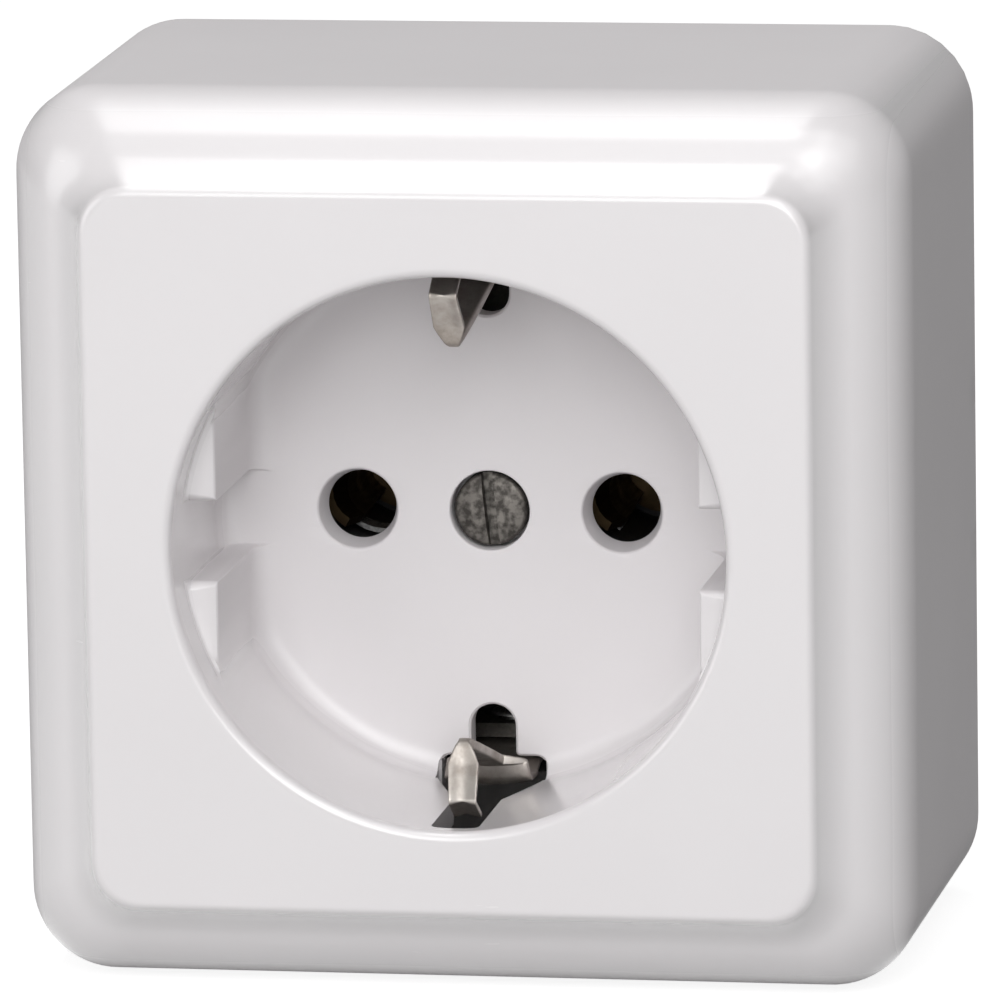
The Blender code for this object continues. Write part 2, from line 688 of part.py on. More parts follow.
def make_contact(name):
    """The right pole's contact about the pin's axis: foot, jaws, riser and terminal tab."""
    foot_level = POCKET_FLOOR + SEAT_GAP + STRIP / 2
    tab_level = STRIP_LEVEL + STRIP / 2
    path = [(0, foot_level), (RISER_OFFSET, foot_level), (RISER_OFFSET, tab_level)]
    path.append((TAB_END - PIN_X, tab_level))
    strip = ribbon(name, path, [FOOT_HALF_WIDTH] * 4, STRIP, radii=[0, BEND_RADIUS, BEND_RADIUS, 0])
    strip.data.transform(Matrix.Rotation(math.pi / 2, 4, "Y"))
    foot_top = foot_level + STRIP / 2 + FOOT_RISE
    foot = bar("foot", TUBE_BORE - 2 * SEAT_GAP, foot_level - STRIP / 2, foot_top)
    combine(strip, [foot, jaw(1), jaw(-1)], "UNION")
    hole_radius = CLAMP_SHANK_RADIUS + SHANK_GAP
    hole = bar("hole", hole_radius, tab_level - PAST, tab_level + PAST, TERMINAL_X - PIN_X)
    return combine(strip, [hole], "DIFFERENCE")


def make_jaw_spring(name):
    """An open ring round both jaws, about the pin's axis."""
    inner = JAW_BORE + JAW_WALL + SEAT_GAP + JAW_PINCH / 4
    outer = inner + RING_WALL
    low = POCKET_FLOOR + RING_START
    high = low + RING_HEIGHT
    rings = []
    for spin in spread(-RING_SPREAD, RING_SPREAD, 30):
        ring = []
        for radius, height in ((inner, low), (outer, low), (outer, high), (inner, high)):
            ring.append(Vector((radius * math.sin(spin), -height, radius * math.cos(spin))))
        rings.append(ring)
    return mesh_object(name, rings)


def make_clamp(name, strip_half):
    """A saddle plate over a terminal strip, with its two lips turned down past the strip's edges."""
    inner = strip_half + SHANK_GAP
    outer = inner + CLAMP_LIP
    low = -CLAMP_LIP_DROP
    outline = [(-outer, low), (-inner, low), (-inner, 0), (inner, 0), (inner, low), (outer, low),
               (outer, CLAMP_THICKNESS), (-outer, CLAMP_THICKNESS)]
    clamp = prism_across(name, outline, -CLAMP_HALF_LENGTH, CLAMP_HALF_LENGTH)
    hole = bar("hole", CLAMP_SHANK_RADIUS + SHANK_GAP, -PAST, CLAMP_THICKNESS + PAST)
    return combine(clamp, [hole], "DIFFERENCE")


def make_screw(name, head_radius, head_height, shank_radius, length, turn=0):
    """A slotted screw about its own axis, with its origin under the head."""
    rim = head_height * HEAD_RIM_SHARE
    point = shank_radius * POINT_SHARE
    profile = [(shank_radius - point, -length), (shank_radius, -length + point), (shank_radius, 0)]
    profile += [(head_radius, 0), (head_radius, head_height - rim)]
    profile += [(head_radius - rim, head_height - rim / 4), (head_radius / 2, head_height)]
    screw = turned(name, profile)
    slot = rounded_square(head_radius + PAST, DRIVE_SLOT_WIDTH / 2, SMALL_CORNER / 4, steps=1)
    cutter = prism("drive_slot", slot, head_height - DRIVE_SLOT_DEPTH, head_height + PAST)
    cutter.data.transform(Matrix.Rotation(turn, 4, "Y"))
    return combine(screw, [cutter], "DIFFERENCE")


def make_nut():
    half = NUT_SIDE / 2
    outline = rounded_square(half, half, NUT_CORNER, steps=2)
    nut = prism("cover_nut", outline, NUT_BACK, NUT_BACK + NUT_HEIGHT)
    return combine(nut, [bar("bore", COVER_SHANK_RADIUS + SEAT_GAP, 0, DECK + PAST)], "DIFFERENCE")


def rivet_hole(side=0):
    """The hole for a rivet along Z: about the hinge line, or in the strip's end on the given side."""
    radius = RIVET_RADIUS + SEAT_GAP
    hole = turned("rivet_hole", [(radius, -PAST), (radius, PAST)], 16)
    hole.data.transform(Matrix.Rotation(math.pi / 2, 4, "X") @ Matrix.Rotation(math.pi / 16, 4, "Y"))
    return place(hole, 0, abs(side) * PIVOT_LEVEL, side * BRIDGE_END)


def make_bridge():
    """The earth strip over the carrier's deck, with both ends bent up for the clips."""
    level = STRIP_LEVEL + BRIDGE_THICKNESS / 2
    top = level + BRIDGE_UPRIGHT
    path = [(-BRIDGE_END, top), (-BRIDGE_END, level), (BRIDGE_END, level), (BRIDGE_END, top)]
    widths = [CLIP_ROOT_HALF_WIDTH, BRIDGE_HALF_WIDTH, BRIDGE_HALF_WIDTH, CLIP_ROOT_HALF_WIDTH]
    bridge = ribbon("earth_bridge", path, widths, BRIDGE_THICKNESS, radii=[0, BEND_RADIUS, BEND_RADIUS, 0])
    cuts = [bar("hole", COVER_SHANK_RADIUS + SHANK_GAP, level - PAST, level + PAST)]
    cuts.append(bar("hole", CLAMP_SHANK_RADIUS + SHANK_GAP, level - PAST, level + PAST, z=EARTH_TERMINAL_Z))
    cuts += [rivet_hole(side) for side in (1, -1)]
    return combine(bridge, cuts, "DIFFERENCE")


def between(crest, bend):
    """A value where the leaf reaches its full width, from those at the clip's crest and at its outer bend."""
    return crest + (bend - crest) * LEAF_SHOULDER


def make_clip(name):
    """The upper earth clip about its hinge line: a root, a neck, a crest and a folded leaf with its tip."""
    neck = FLOOR_FRONT + GATE_DEPTH
    path = [(CLIP_REACH, PIVOT_LEVEL - CLIP_TAIL), (CLIP_REACH, neck - CLIP_THICKNESS / 2)]
    path.append((CLIP_REACH, neck + CLIP_THICKNESS / 2))
    path.append((CREST_REACH, BOX_DEPTH - CREST_DEPTH))
    path.append((between(CREST_REACH, LEAF_REACH), BOX_DEPTH - between(CREST_DEPTH, LEAF_DEPTH)))
    path.append((LEAF_REACH, BOX_DEPTH - LEAF_DEPTH))
    path.append((TIP_REACH, BOX_DEPTH - TIP_DEPTH))
    path = [(along - CLIP_REACH, height - PIVOT_LEVEL) for along, height in path]
    widths = [CLIP_ROOT_HALF_WIDTH, CLIP_ROOT_HALF_WIDTH, CLIP_NECK_HALF_WIDTH]
    widths += [CLIP_CREST_HALF_WIDTH, CLIP_LEAF_HALF_WIDTH, CLIP_TIP_HALF_WIDTH, CLIP_TIP_HALF_WIDTH]
    folds = [0, 0, CREST_FOLD / 2, CREST_FOLD, LEAF_FOLD, LEAF_FOLD, CREST_FOLD]
    shifts = [0, 0, 0, -CLIP_CREST_SHIFT, -between(CLIP_CREST_SHIFT, CLIP_LEAF_SHIFT)]
    shifts += [-CLIP_LEAF_SHIFT, -CLIP_LEAF_SHIFT]
    radii = [0, 0, 0, CREST_BEND, 0, LEAF_BEND, 0]
    clip = ribbon(name, path, widths, CLIP_THICKNESS, folds, radii, shifts)
    return combine(clip, [rivet_hole()], "DIFFERENCE")


def make_rivet(name):
    """A rivet along Z about the strip's middle, with a head past each of the two strips."""
    near = -BRIDGE_THICKNESS / 2 - SEAT_GAP
    far = CLIP_REACH - BRIDGE_END + CLIP_THICKNESS / 2 + SEAT_GAP
    rim = RIVET_HEAD_HEIGHT / 3
    low = near - RIVET_HEAD_HEIGHT
    high = far + RIVET_HEAD_HEIGHT
    profile = [(RIVET_HEAD_RADIUS - rim, low), (RIVET_HEAD_RADIUS, low + rim), (RIVET_HEAD_RADIUS, near)]
    profile += [(RIVET_RADIUS, near), (RIVET_RADIUS, far)]
    profile += [(RIVET_HEAD_RADIUS, far), (RIVET_HEAD_RADIUS, high - rim), (RIVET_HEAD_RADIUS - rim, high)]
    rivet = turned(name, profile, 20)
    rivet.data.transform(Matrix.Rotation(-math.pi / 2, 4, "X"))
    return rivet


def copy_of(obj, name):
    twin = bpy.data.objects.new(name, obj.data)
    bpy.context.collection.objects.link(twin)
    return twin


def add_poles(parent, brass, steel):
    """Contact, jaw spring, clamp and screw for each pole. The left pole is the right one turned half round."""
    clamp_level = STRIP_LEVEL + STRIP + SEAT_GAP
    seat = clamp_level + CLAMP_THICKNESS + SEAT_GAP
    length = seat - SCREW_FLOOR - SEAT_GAP
    contact = place(make_contact("contact_right"), PIN_X, 0, 0)
    spring = place(make_jaw_spring("jaw_spring_right"), PIN_X, 0, 0)
    clamp = place(make_clamp("terminal_clamp_right", FOOT_HALF_WIDTH), TERMINAL_X, clamp_level, 0)
    clamp.data.transform(Matrix.Rotation(math.pi / 2, 4, "Y"))
    sizes = (CLAMP_HEAD_RADIUS, CLAMP_HEAD_HEIGHT, CLAMP_SHANK_RADIUS, length)
    screw = make_screw("terminal_screw_right", *sizes)
    place(screw, TERMINAL_X, seat, 0)
    for obj, material in ((contact, brass), (spring, steel), (clamp, steel), (screw, steel)):
        twin = copy_of(obj, obj.name.replace("right", "left"))
        twin.location = (-obj.location.x, obj.location.y, obj.location.z)
        twin.rotation_euler = (0, math.pi, 0)
        finish(obj, material, parent)
        finish(twin, material, parent)


def add_earth(parent, nickel, steel):
    finish(make_bridge(), nickel, parent)
    clamp_level = STRIP_LEVEL + BRIDGE_THICKNESS + SEAT_GAP
    clamp = place(make_clamp("earth_clamp", BRIDGE_HALF_WIDTH), 0, clamp_level, EARTH_TERMINAL_Z)
    finish(clamp, steel, parent)
    seat = clamp_level + CLAMP_THICKNESS + SEAT_GAP
    length = seat - SCREW_FLOOR - SEAT_GAP
    screw = make_screw("earth_screw", CLAMP_HEAD_RADIUS, CLAMP_HEAD_HEIGHT, CLAMP_SHANK_RADIUS, length)
    finish(place(screw, 0, seat, EARTH_TERMINAL_Z), steel, parent)
    clip = place(make_clip("earth_clip_top"), 0, PIVOT_LEVEL, CLIP_REACH)
    rivet = place(make_rivet("clip_rivet_top"), 0, PIVOT_LEVEL, BRIDGE_END)
    for obj, material in ((clip, nickel), (rivet, steel)):
        twin = copy_of(obj, obj.name.replace("top", "bottom"))
        twin.location = (0, obj.location.y, -obj.location.z)
        twin.rotation_euler = (0, math.pi, 0)
        finish(obj, material, parent)
        finish(twin, material, parent)


def add_fixings(parent, steel, brass):
    """The cover's screw and nut, and the two screws that hold the carrier to the base plate."""
    head_seat = COVER_HEAD_TOP - COVER_HEAD_HEIGHT
    length = head_seat - SCREW_FLOOR - SEAT_GAP
    turn = math.radians(COVER_SLOT_DEGREES)
    screw = make_screw("cover_screw", COVER_HEAD_RADIUS, COVER_HEAD_HEIGHT, COVER_SHANK_RADIUS, length, turn)
    finish(place(screw, 0, head_seat, 0), steel, parent)
    finish(make_nut(), brass, parent)
    seat = DECK - CARRIER_SCREW_SEAT + SEAT_GAP
    length = seat - BASE_THICKNESS / 2 - SEAT_GAP
    for name, side in (("carrier_screw_upper", 1), ("carrier_screw_lower", -1)):
        turn = side * math.radians(CARRIER_SLOT_DEGREES)
        screw = make_screw(name, CARRIER_HEAD_RADIUS, CARRIER_HEAD_HEIGHT, CARRIER_SHANK_RADIUS, length, turn)
        finish(place(screw, -side * CARRIER_SCREW_X, seat, side * CARRIER_SCREW_Z), steel, parent)


def main():
    clear_scene()
    socket = bpy.data.objects.new("socket", None)
    bpy.context.collection.objects.link(socket)
    white = make_material("white_moulding", (0.80, 0.78, 0.78), 0.22, 0)
    base_white = make_material("base_moulding", (0.62, 0.61, 0.60), 0.45, 0)
    black = make_material("carrier_moulding", (0.02, 0.02, 0.022), 0.5, 0)
    brass = make_material("brass", (0.78, 0.57, 0.26), 0.35, 1)
    nickel = make_material("nickel", (0.66, 0.62, 0.56), 0.3, 1)
    steel = make_material("steel", (0.42, 0.42, 0.43), 0.4, 1)
    finish(make_cover(), white, socket)
    finish(make_base_plate(), base_white, socket)
    finish(make_carrier(), black, socket)
    add_poles(socket, brass, steel)
    add_earth(socket, nickel, steel)
    add_fixings(socket, steel, brass)


main()
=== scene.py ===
import math
import bmesh
import bpy
import numpy as np
from mathutils import Matrix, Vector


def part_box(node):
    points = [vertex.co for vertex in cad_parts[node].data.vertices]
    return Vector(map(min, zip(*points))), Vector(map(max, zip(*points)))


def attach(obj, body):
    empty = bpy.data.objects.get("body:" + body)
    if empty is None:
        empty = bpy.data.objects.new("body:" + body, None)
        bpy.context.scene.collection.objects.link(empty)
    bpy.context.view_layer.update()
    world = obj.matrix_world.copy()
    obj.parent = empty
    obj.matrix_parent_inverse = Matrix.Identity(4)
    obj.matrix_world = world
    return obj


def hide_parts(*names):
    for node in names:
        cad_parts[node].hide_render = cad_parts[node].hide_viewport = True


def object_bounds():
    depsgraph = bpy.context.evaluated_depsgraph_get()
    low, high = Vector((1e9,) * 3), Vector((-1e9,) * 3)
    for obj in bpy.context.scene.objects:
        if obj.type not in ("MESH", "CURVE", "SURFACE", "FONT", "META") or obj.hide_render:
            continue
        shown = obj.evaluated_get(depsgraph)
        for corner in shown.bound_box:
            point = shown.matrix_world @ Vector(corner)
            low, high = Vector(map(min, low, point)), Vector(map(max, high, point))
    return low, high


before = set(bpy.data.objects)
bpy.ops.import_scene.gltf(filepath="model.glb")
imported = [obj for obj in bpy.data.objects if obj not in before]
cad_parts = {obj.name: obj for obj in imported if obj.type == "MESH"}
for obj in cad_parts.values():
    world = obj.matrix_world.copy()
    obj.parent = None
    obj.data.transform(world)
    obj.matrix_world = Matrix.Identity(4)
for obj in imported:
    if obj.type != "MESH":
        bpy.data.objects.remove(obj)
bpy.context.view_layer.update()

# lengths are in millimetres where nothing else is said; a height is counted from the wall, along -Y
mm = 0.001
print("stage: frame loaded")


# shared shape tools

shapeRules = {
    "weld": 1e-7,          # metres: points nearer than this become one
    "legShare": 0.45,      # share of its shorter leg that a corner's arc may take
    "straightHalf": 1.56,  # radians: a corner with a wider half angle counts as straight
    "cornerSteps": 10, "stations": 90, "around": 40,  # how finely a strip is divided
    "boxiness": 0.4,       # power that turns a strip's section from a circle into a soft rectangle
    "crestSoft": 0.05,     # rounds the fold line along a strip's middle
}


def inWorld(x, height, z):
    # place of a point: (x, -height, z) in metres
    return np.stack(np.broadcast_arrays(np.asarray(x) * mm, -np.asarray(height) * mm, np.asarray(z) * mm), -1)


def allRound(count):
    # angles of count even steps round a full turn
    return np.linspace(0, 2 * np.pi, count, endpoint=False)


def gridPiece(name, points, loopRows=False, loopColumns=True, caps=False):
    # points[i, j] is row i and column j of the surface; four neighbours make a quad
    rows, columns = points.shape[:2]
    number = np.arange(rows * columns).reshape(rows, columns)
    here = number if loopRows else number[:-1]
    down = np.roll(number, -1, 0) if loopRows else number[1:]
    if loopColumns:
        quads = np.stack([here, np.roll(here, -1, 1), np.roll(down, -1, 1), down], -1)
    else:
        quads = np.stack([here[:, :-1], here[:, 1:], down[:, 1:], down[:, :-1]], -1)
    faces = quads.reshape(-1, 4).tolist()
    if caps:
        faces += [number[0].tolist(), number[-1].tolist()]
    mesh = bpy.data.meshes.new(name)
    mesh.from_pydata(points.reshape(-1, 3).tolist(), [], faces)
    shape = bmesh.new()
    shape.from_mesh(mesh)
    bmesh.ops.remove_doubles(shape, verts=shape.verts, dist=shapeRules["weld"])
    bmesh.ops.recalc_face_normals(shape, faces=shape.faces)
    shape.to_mesh(mesh)
    shape.free()
    piece = bpy.data.objects.new(name, mesh)
    bpy.context.collection.objects.link(piece)
    return piece


def carve(target, cutters, operation="DIFFERENCE"):
    # exact boolean with each cutter in turn, kept as a plain mesh
    for cutter in cutters:
        step = target.modifiers.new("carve", "BOOLEAN")
        step.operation = operation
        step.solver = "EXACT"
        step.object = cutter
    graph = bpy.context.evaluated_depsgraph_get()
    mesh = bpy.data.meshes.new_from_object(target.evaluated_get(graph))
    target.modifiers.clear()
    target.data = mesh
    for cutter in cutters:
        bpy.data.objects.remove(cutter)
    return target


def arcPoints(centre, radius, first, last, steps):
    # (a, b) = centre + radius (cos t, sin t), with t from first to last in degrees
    spin = np.radians(np.linspace(first, last, steps + 1))
    return np.stack([centre[0] + radius * np.cos(spin), centre[1] + radius * np.sin(spin)], -1)


def roundedPath(corners, radii, steps):
    # each inner corner becomes a circular arc that touches both of its legs
    corners = np.array(corners, float)
    parts = [corners[:1]]
    for k in range(1, len(corners) - 1):
        come = corners[k - 1] - corners[k]
        leave = corners[k + 1] - corners[k]
        room = shapeRules["legShare"] * min(np.linalg.norm(come), np.linalg.norm(leave))
        come = come / np.linalg.norm(come)
        leave = leave / np.linalg.norm(leave)
        half = math.acos(np.clip(come @ leave, -1, 1)) / 2
        if radii[k] == 0 or half > shapeRules["straightHalf"]:
            parts.append(corners[k:k + 1])
            continue
        reach = min(radii[k] / math.tan(half), room)
        radius = reach * math.tan(half)
        toMiddle = (come + leave) / np.linalg.norm(come + leave)
        middle = corners[k] + toMiddle * radius / math.sin(half)
        first = corners[k] + come * reach - middle
        last = corners[k] + leave * reach - middle
        turn = math.atan2(first[0] * last[1] - first[1] * last[0], first @ last)
        spin = np.linspace(0, turn, steps + 1)[:, None]
        parts.append(middle + np.cos(spin) * first + np.sin(spin) * np.array([-first[1], first[0]]))
    parts.append(corners[-1:])
    return np.concatenate(parts)


def turned(name, profile, centre, columns):
    # a (radius, height) profile turned about a line that stands on the wall at the centre
    spin = allRound(columns)
    radius = np.asarray(profile)[:, :1]
    height = np.asarray(profile)[:, 1:]
    points = inWorld(centre[0] + radius * np.cos(spin), height + 0 * spin, centre[1] + radius * np.sin(spin))
    return gridPiece(name, points)


def upright(name, outline, levels):
    # an (x, z) outline carried along heights; each level is (height, how far the outline is pushed out)
    outline = np.asarray(outline, float)
    before = outline - np.roll(outline, 1, 0)
    after = np.roll(outline, -1, 0) - outline
    normal = np.stack([before[:, 1], -before[:, 0]], -1) / np.linalg.norm(before, axis=1)[:, None]
    normal = normal + np.stack([after[:, 1], -after[:, 0]], -1) / np.linalg.norm(after, axis=1)[:, None]
    normal = normal / np.maximum((normal ** 2).sum(1), 1)[:, None] * 2
    area = np.sum(outline[:, 0] * np.roll(outline[:, 1], -1) - outline[:, 1] * np.roll(outline[:, 0], -1))
    normal = normal * np.sign(area)
    rings = []
    for height, push in levels:
        pushed = outline + normal * push
        rings.append(inWorld(pushed[:, 0], height, pushed[:, 1]))
    return gridPiece(name, np.stack(rings), caps=True)


def crosswise(name, outline, low, high):
    # an (x, height) outline carried along Z from low to high
    outline = np.asarray(outline, float)
    rings = [inWorld(outline[:, 0], outline[:, 1], level) for level in (low, high)]
    return gridPiece(name, np.stack(rings), caps=True)


def strip(name, form, turn):
    # middle line P(s) with normal N(s): point = P + N (lift + fold (1 - |u|)), across = shift + half width u,
    # where (u, lift) runs round a soft rectangle as thick as the strip, and |u| is rounded at its foot;
    # fold, shift and thickness run evenly between corners, the half width as the root of its square;
    # turn -1 gives the same strip turned half round
    corners = np.array(form["corners"], float)
    path = roundedPath(corners, form["radii"], shapeRules["cornerSteps"])
    gap = np.linalg.norm(np.diff(path, axis=0), axis=1)
    length = np.concatenate([[0], np.cumsum(gap)])
    even = np.unique(np.concatenate([length, np.linspace(0, length[-1], shapeRules["stations"])]))
    path = np.stack([np.interp(even, length, path[:, k]) for k in (0, 1)], -1)
    reach = np.linalg.norm(path[None] - corners[:, None], axis=2)
    stations = even[reach.argmin(1)]
    half = np.sqrt(np.interp(even, stations, np.square(form["halfWidths"])))[:, None]
    fold, shift, thickness = (np.interp(even, stations, form[key])[:, None]
                              for key in ("folds", "shifts", "thicknesses"))
    along = np.gradient(path, even, axis=0)
    along = along / np.linalg.norm(along, axis=1)[:, None]
    normal = np.stack([-along[:, 1], along[:, 0]], -1)
    spin = allRound(shapeRules["around"])
    across = np.sign(np.cos(spin)) * np.abs(np.cos(spin)) ** shapeRules["boxiness"]
    lift = np.sign(np.sin(spin)) * np.abs(np.sin(spin)) ** shapeRules["boxiness"] * thickness / 2
    rise = lift + fold * (1 - np.sqrt(across ** 2 + shapeRules["crestSoft"]))
    first = path[:, :1] + normal[:, :1] * rise
    height = path[:, 1:] + normal[:, 1:] * rise
    side = half * across + shift
    return gridPiece(name, inWorld(turn * side, height, turn * first), caps=True)


def settle(piece, material, nodes, body="root", sharp=30, weighted=False):
    # material, shading, and the piece's place in the frame; edges over sharp degrees stay crisp
    piece.data.materials.clear()
    piece.data.materials.append(material)
    piece.data.shade_smooth()
    piece.data.set_sharp_from_angle(angle=math.radians(sharp))
    if weighted:
        even = piece.modifiers.new("even", "WEIGHTED_NORMAL")
        even.keep_sharp = True
    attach(piece, body)
    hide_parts(*nodes)
    return piece


def boxOf(node):
    # lowest x, height, z and highest x, height, z of a CAD node
    low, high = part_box(node)
    return (low.x / mm, -high.y / mm, low.z / mm), (high.x / mm, -low.y / mm, high.z / mm)


# shared surface effects: groups give out colours, masks and heights only

def addNode(tree, kind, inputs=None, **settings):
    # an input is a plain value, or a socket to link from
    made = tree.nodes.new(kind)
    for key, value in settings.items():
        setattr(made, key, value)
    for key, value in (inputs or {}).items():
        if isinstance(value, bpy.types.NodeSocket):
            tree.links.new(value, made.inputs[key])
        else:
            made.inputs[key].default_value = value
    return made


def maths(tree, operation, *values):
    return addNode(tree, "ShaderNodeMath", dict(enumerate(values)), operation=operation).outputs[0]


def noise(tree, place, scale, detail):
    return addNode(tree, "ShaderNodeTexNoise", {"Vector": place, "Scale": scale, "Detail": detail}).outputs[0]


def drawnOut(tree, place, scale):
    return addNode(tree, "ShaderNodeMapping", {"Vector": place, "Scale": scale}).outputs[0]


def masked(tree, value, band, top=1.0):
    # 0 at the band's first value, top at its second, even between them
    return addNode(tree, "ShaderNodeMapRange", {0: value, 1: band[0], 2: band[1], 3: 0.0, 4: top}).outputs[0]


def mixedColour(tree, mask, first, second):
    mix = addNode(tree, "ShaderNodeMix", data_type="RGBA")
    tree.links.new(mask, mix.inputs[0])
    tree.links.new(first, mix.inputs[6])
    tree.links.new(second, mix.inputs[7])
    return mix.outputs[2]


def sumOf(tree, first, factor, mask):
    # first + factor * mask
    return maths(tree, "MULTIPLY_ADD", factor, mask, first)


colourSocket, valueSocket = "NodeSocketColor", "NodeSocketFloat"
skinInputs = [("light", colourSocket, (1, 1, 1, 1)), ("deep", colourSocket, (0, 0, 0, 1)),
              ("grain", valueSocket, 1500.0), ("cloud", valueSocket, 60.0), ("rough", valueSocket, 0.3),
              ("roughSpan", valueSocket, 0.1), ("satin", valueSocket, 0.0), ("coat", valueSocket, 0.0)]
skinOutputs = [("tone", colourSocket), ("roughness", valueSocket), ("height", valueSocket)]

# a drawn value stretches the noise along an axis; a band is the part of the noise that a mask spreads out
skinNoise = {
    "peelDetail": 3.0, "cloudDetail": 4.0, "cloudBand": (0.35, 0.65),
    "rubScale": 240.0, "rubDetail": 6.0, "rubDrawn": (1.0, 1.0, 7.0), "rubBand": (0.66, 0.90),
    "lineDetail": 5.0, "lineDrawn": (1.0, 0.05, 1.0), "lineBand": (0.35, 0.65),
    "stainDetail": 5.0, "stainBand": (0.42, 0.66),
    "speckDetail": 2.0, "speckBand": (0.38, 0.62), "patchBand": (0.35, 0.7),
}

# where the cover's skin changes, in metres: outward is the greater of |x| and |z|, ring is the distance from
# the middle line; wellSatin is the share of the satin that the recess has
coverZones = {"sideSatin": (0.0302, 0.0313), "frontCoat": (0.0313, 0.0295), "wellCoat": (0.0178, 0.0194),
              "wellSatin": 0.4}


def startSkin(name, extraOutputs=()):
    # an empty group with the shared inputs and outputs, and the object's own coordinates
    tree = bpy.data.node_groups.new(name, "ShaderNodeTree")
    for label, kind, value in skinInputs:
        tree.interface.new_socket(label, in_out="INPUT", socket_type=kind).default_value = value
    for label, kind in (*skinOutputs, *extraOutputs):
        tree.interface.new_socket(label, in_out="OUTPUT", socket_type=kind)
    take, give = addNode(tree, "NodeGroupInput").outputs, addNode(tree, "NodeGroupOutput").inputs
    return tree, take, give, addNode(tree, "ShaderNodeTexCoord").outputs["Object"]


def makeMouldedSkin():
    # orange peel as height, slow clouding as tone, sparse rubs as extra roughness; side walls and recess are
    # satin, and the coat lies on the front only
    tree, take, give, place = startSkin("mouldedSkin", [("coat", valueSocket)])
    peel = noise(tree, place, take["grain"], skinNoise["peelDetail"])
    cloud = noise(tree, place, take["cloud"], skinNoise["cloudDetail"])
    drawn = drawnOut(tree, place, skinNoise["rubDrawn"])
    rub = noise(tree, drawn, skinNoise["rubScale"], skinNoise["rubDetail"])
    cloudMask = masked(tree, cloud, skinNoise["cloudBand"])
    rubMask = masked(tree, rub, skinNoise["rubBand"])
    apart = addNode(tree, "ShaderNodeSeparateXYZ", {0: place}).outputs
    outward = maths(tree, "MAXIMUM", *(maths(tree, "ABSOLUTE", apart[k]) for k in (0, 2)))
    flat = addNode(tree, "ShaderNodeCombineXYZ", {0: apart[0], 2: apart[2]}).outputs[0]
    ring = addNode(tree, "ShaderNodeVectorMath", {0: flat}, operation="LENGTH").outputs["Value"]
    sideMask = masked(tree, outward, coverZones["sideSatin"])
    wellMask = masked(tree, ring, coverZones["wellCoat"][::-1], coverZones["wellSatin"])
    frontCoat = masked(tree, outward, coverZones["frontCoat"], take["coat"])
    wellCoat = masked(tree, ring, coverZones["wellCoat"])
    tree.links.new(maths(tree, "MULTIPLY", frontCoat, wellCoat), give["coat"])
    tree.links.new(mixedColour(tree, cloudMask, take["light"], take["deep"]), give["tone"])
    rough = sumOf(tree, take["rough"], take["roughSpan"], cloudMask)
    rough = sumOf(tree, rough, take["satin"], maths(tree, "MAXIMUM", sideMask, wellMask))
    tree.links.new(sumOf(tree, rough, take["roughSpan"], rubMask), give["roughness"])
    tree.links.new(peel, give["height"])
    return tree


def makeRolledStrip():
    # rolling lines drawn out along Y as height and roughness, stains as tone
    tree, take, give, place = startSkin("rolledStrip")
    lines = noise(tree, drawnOut(tree, place, skinNoise["lineDrawn"]), take["grain"], skinNoise["lineDetail"])
    lineMask = masked(tree, lines, skinNoise["lineBand"])
    stain = masked(tree, noise(tree, place, take["cloud"], skinNoise["stainDetail"]), skinNoise["stainBand"])
    tree.links.new(mixedColour(tree, stain, take["light"], take["deep"]), give["tone"])
    rough = sumOf(tree, take["rough"], take["roughSpan"], lineMask)
    tree.links.new(sumOf(tree, rough, take["roughSpan"], stain), give["roughness"])
    tree.links.new(lines, give["height"])
    return tree


def makeDullPlating():
    # crystals of dull plating: a speckle of two tones that is also the height
    tree, take, give, place = startSkin("dullPlating")
    speck = noise(tree, place, take["grain"], skinNoise["speckDetail"])
    speckMask = masked(tree, speck, skinNoise["speckBand"])
    patch = masked(tree, noise(tree, place, take["cloud"], skinNoise["cloudDetail"]), skinNoise["patchBand"])
    tree.links.new(mixedColour(tree, speckMask, take["light"], take["deep"]), give["tone"])
    rough = sumOf(tree, take["rough"], take["roughSpan"], speckMask)
    tree.links.new(sumOf(tree, rough, take["roughSpan"], patch), give["roughness"])
    tree.links.new(speck, give["height"])
    return tree


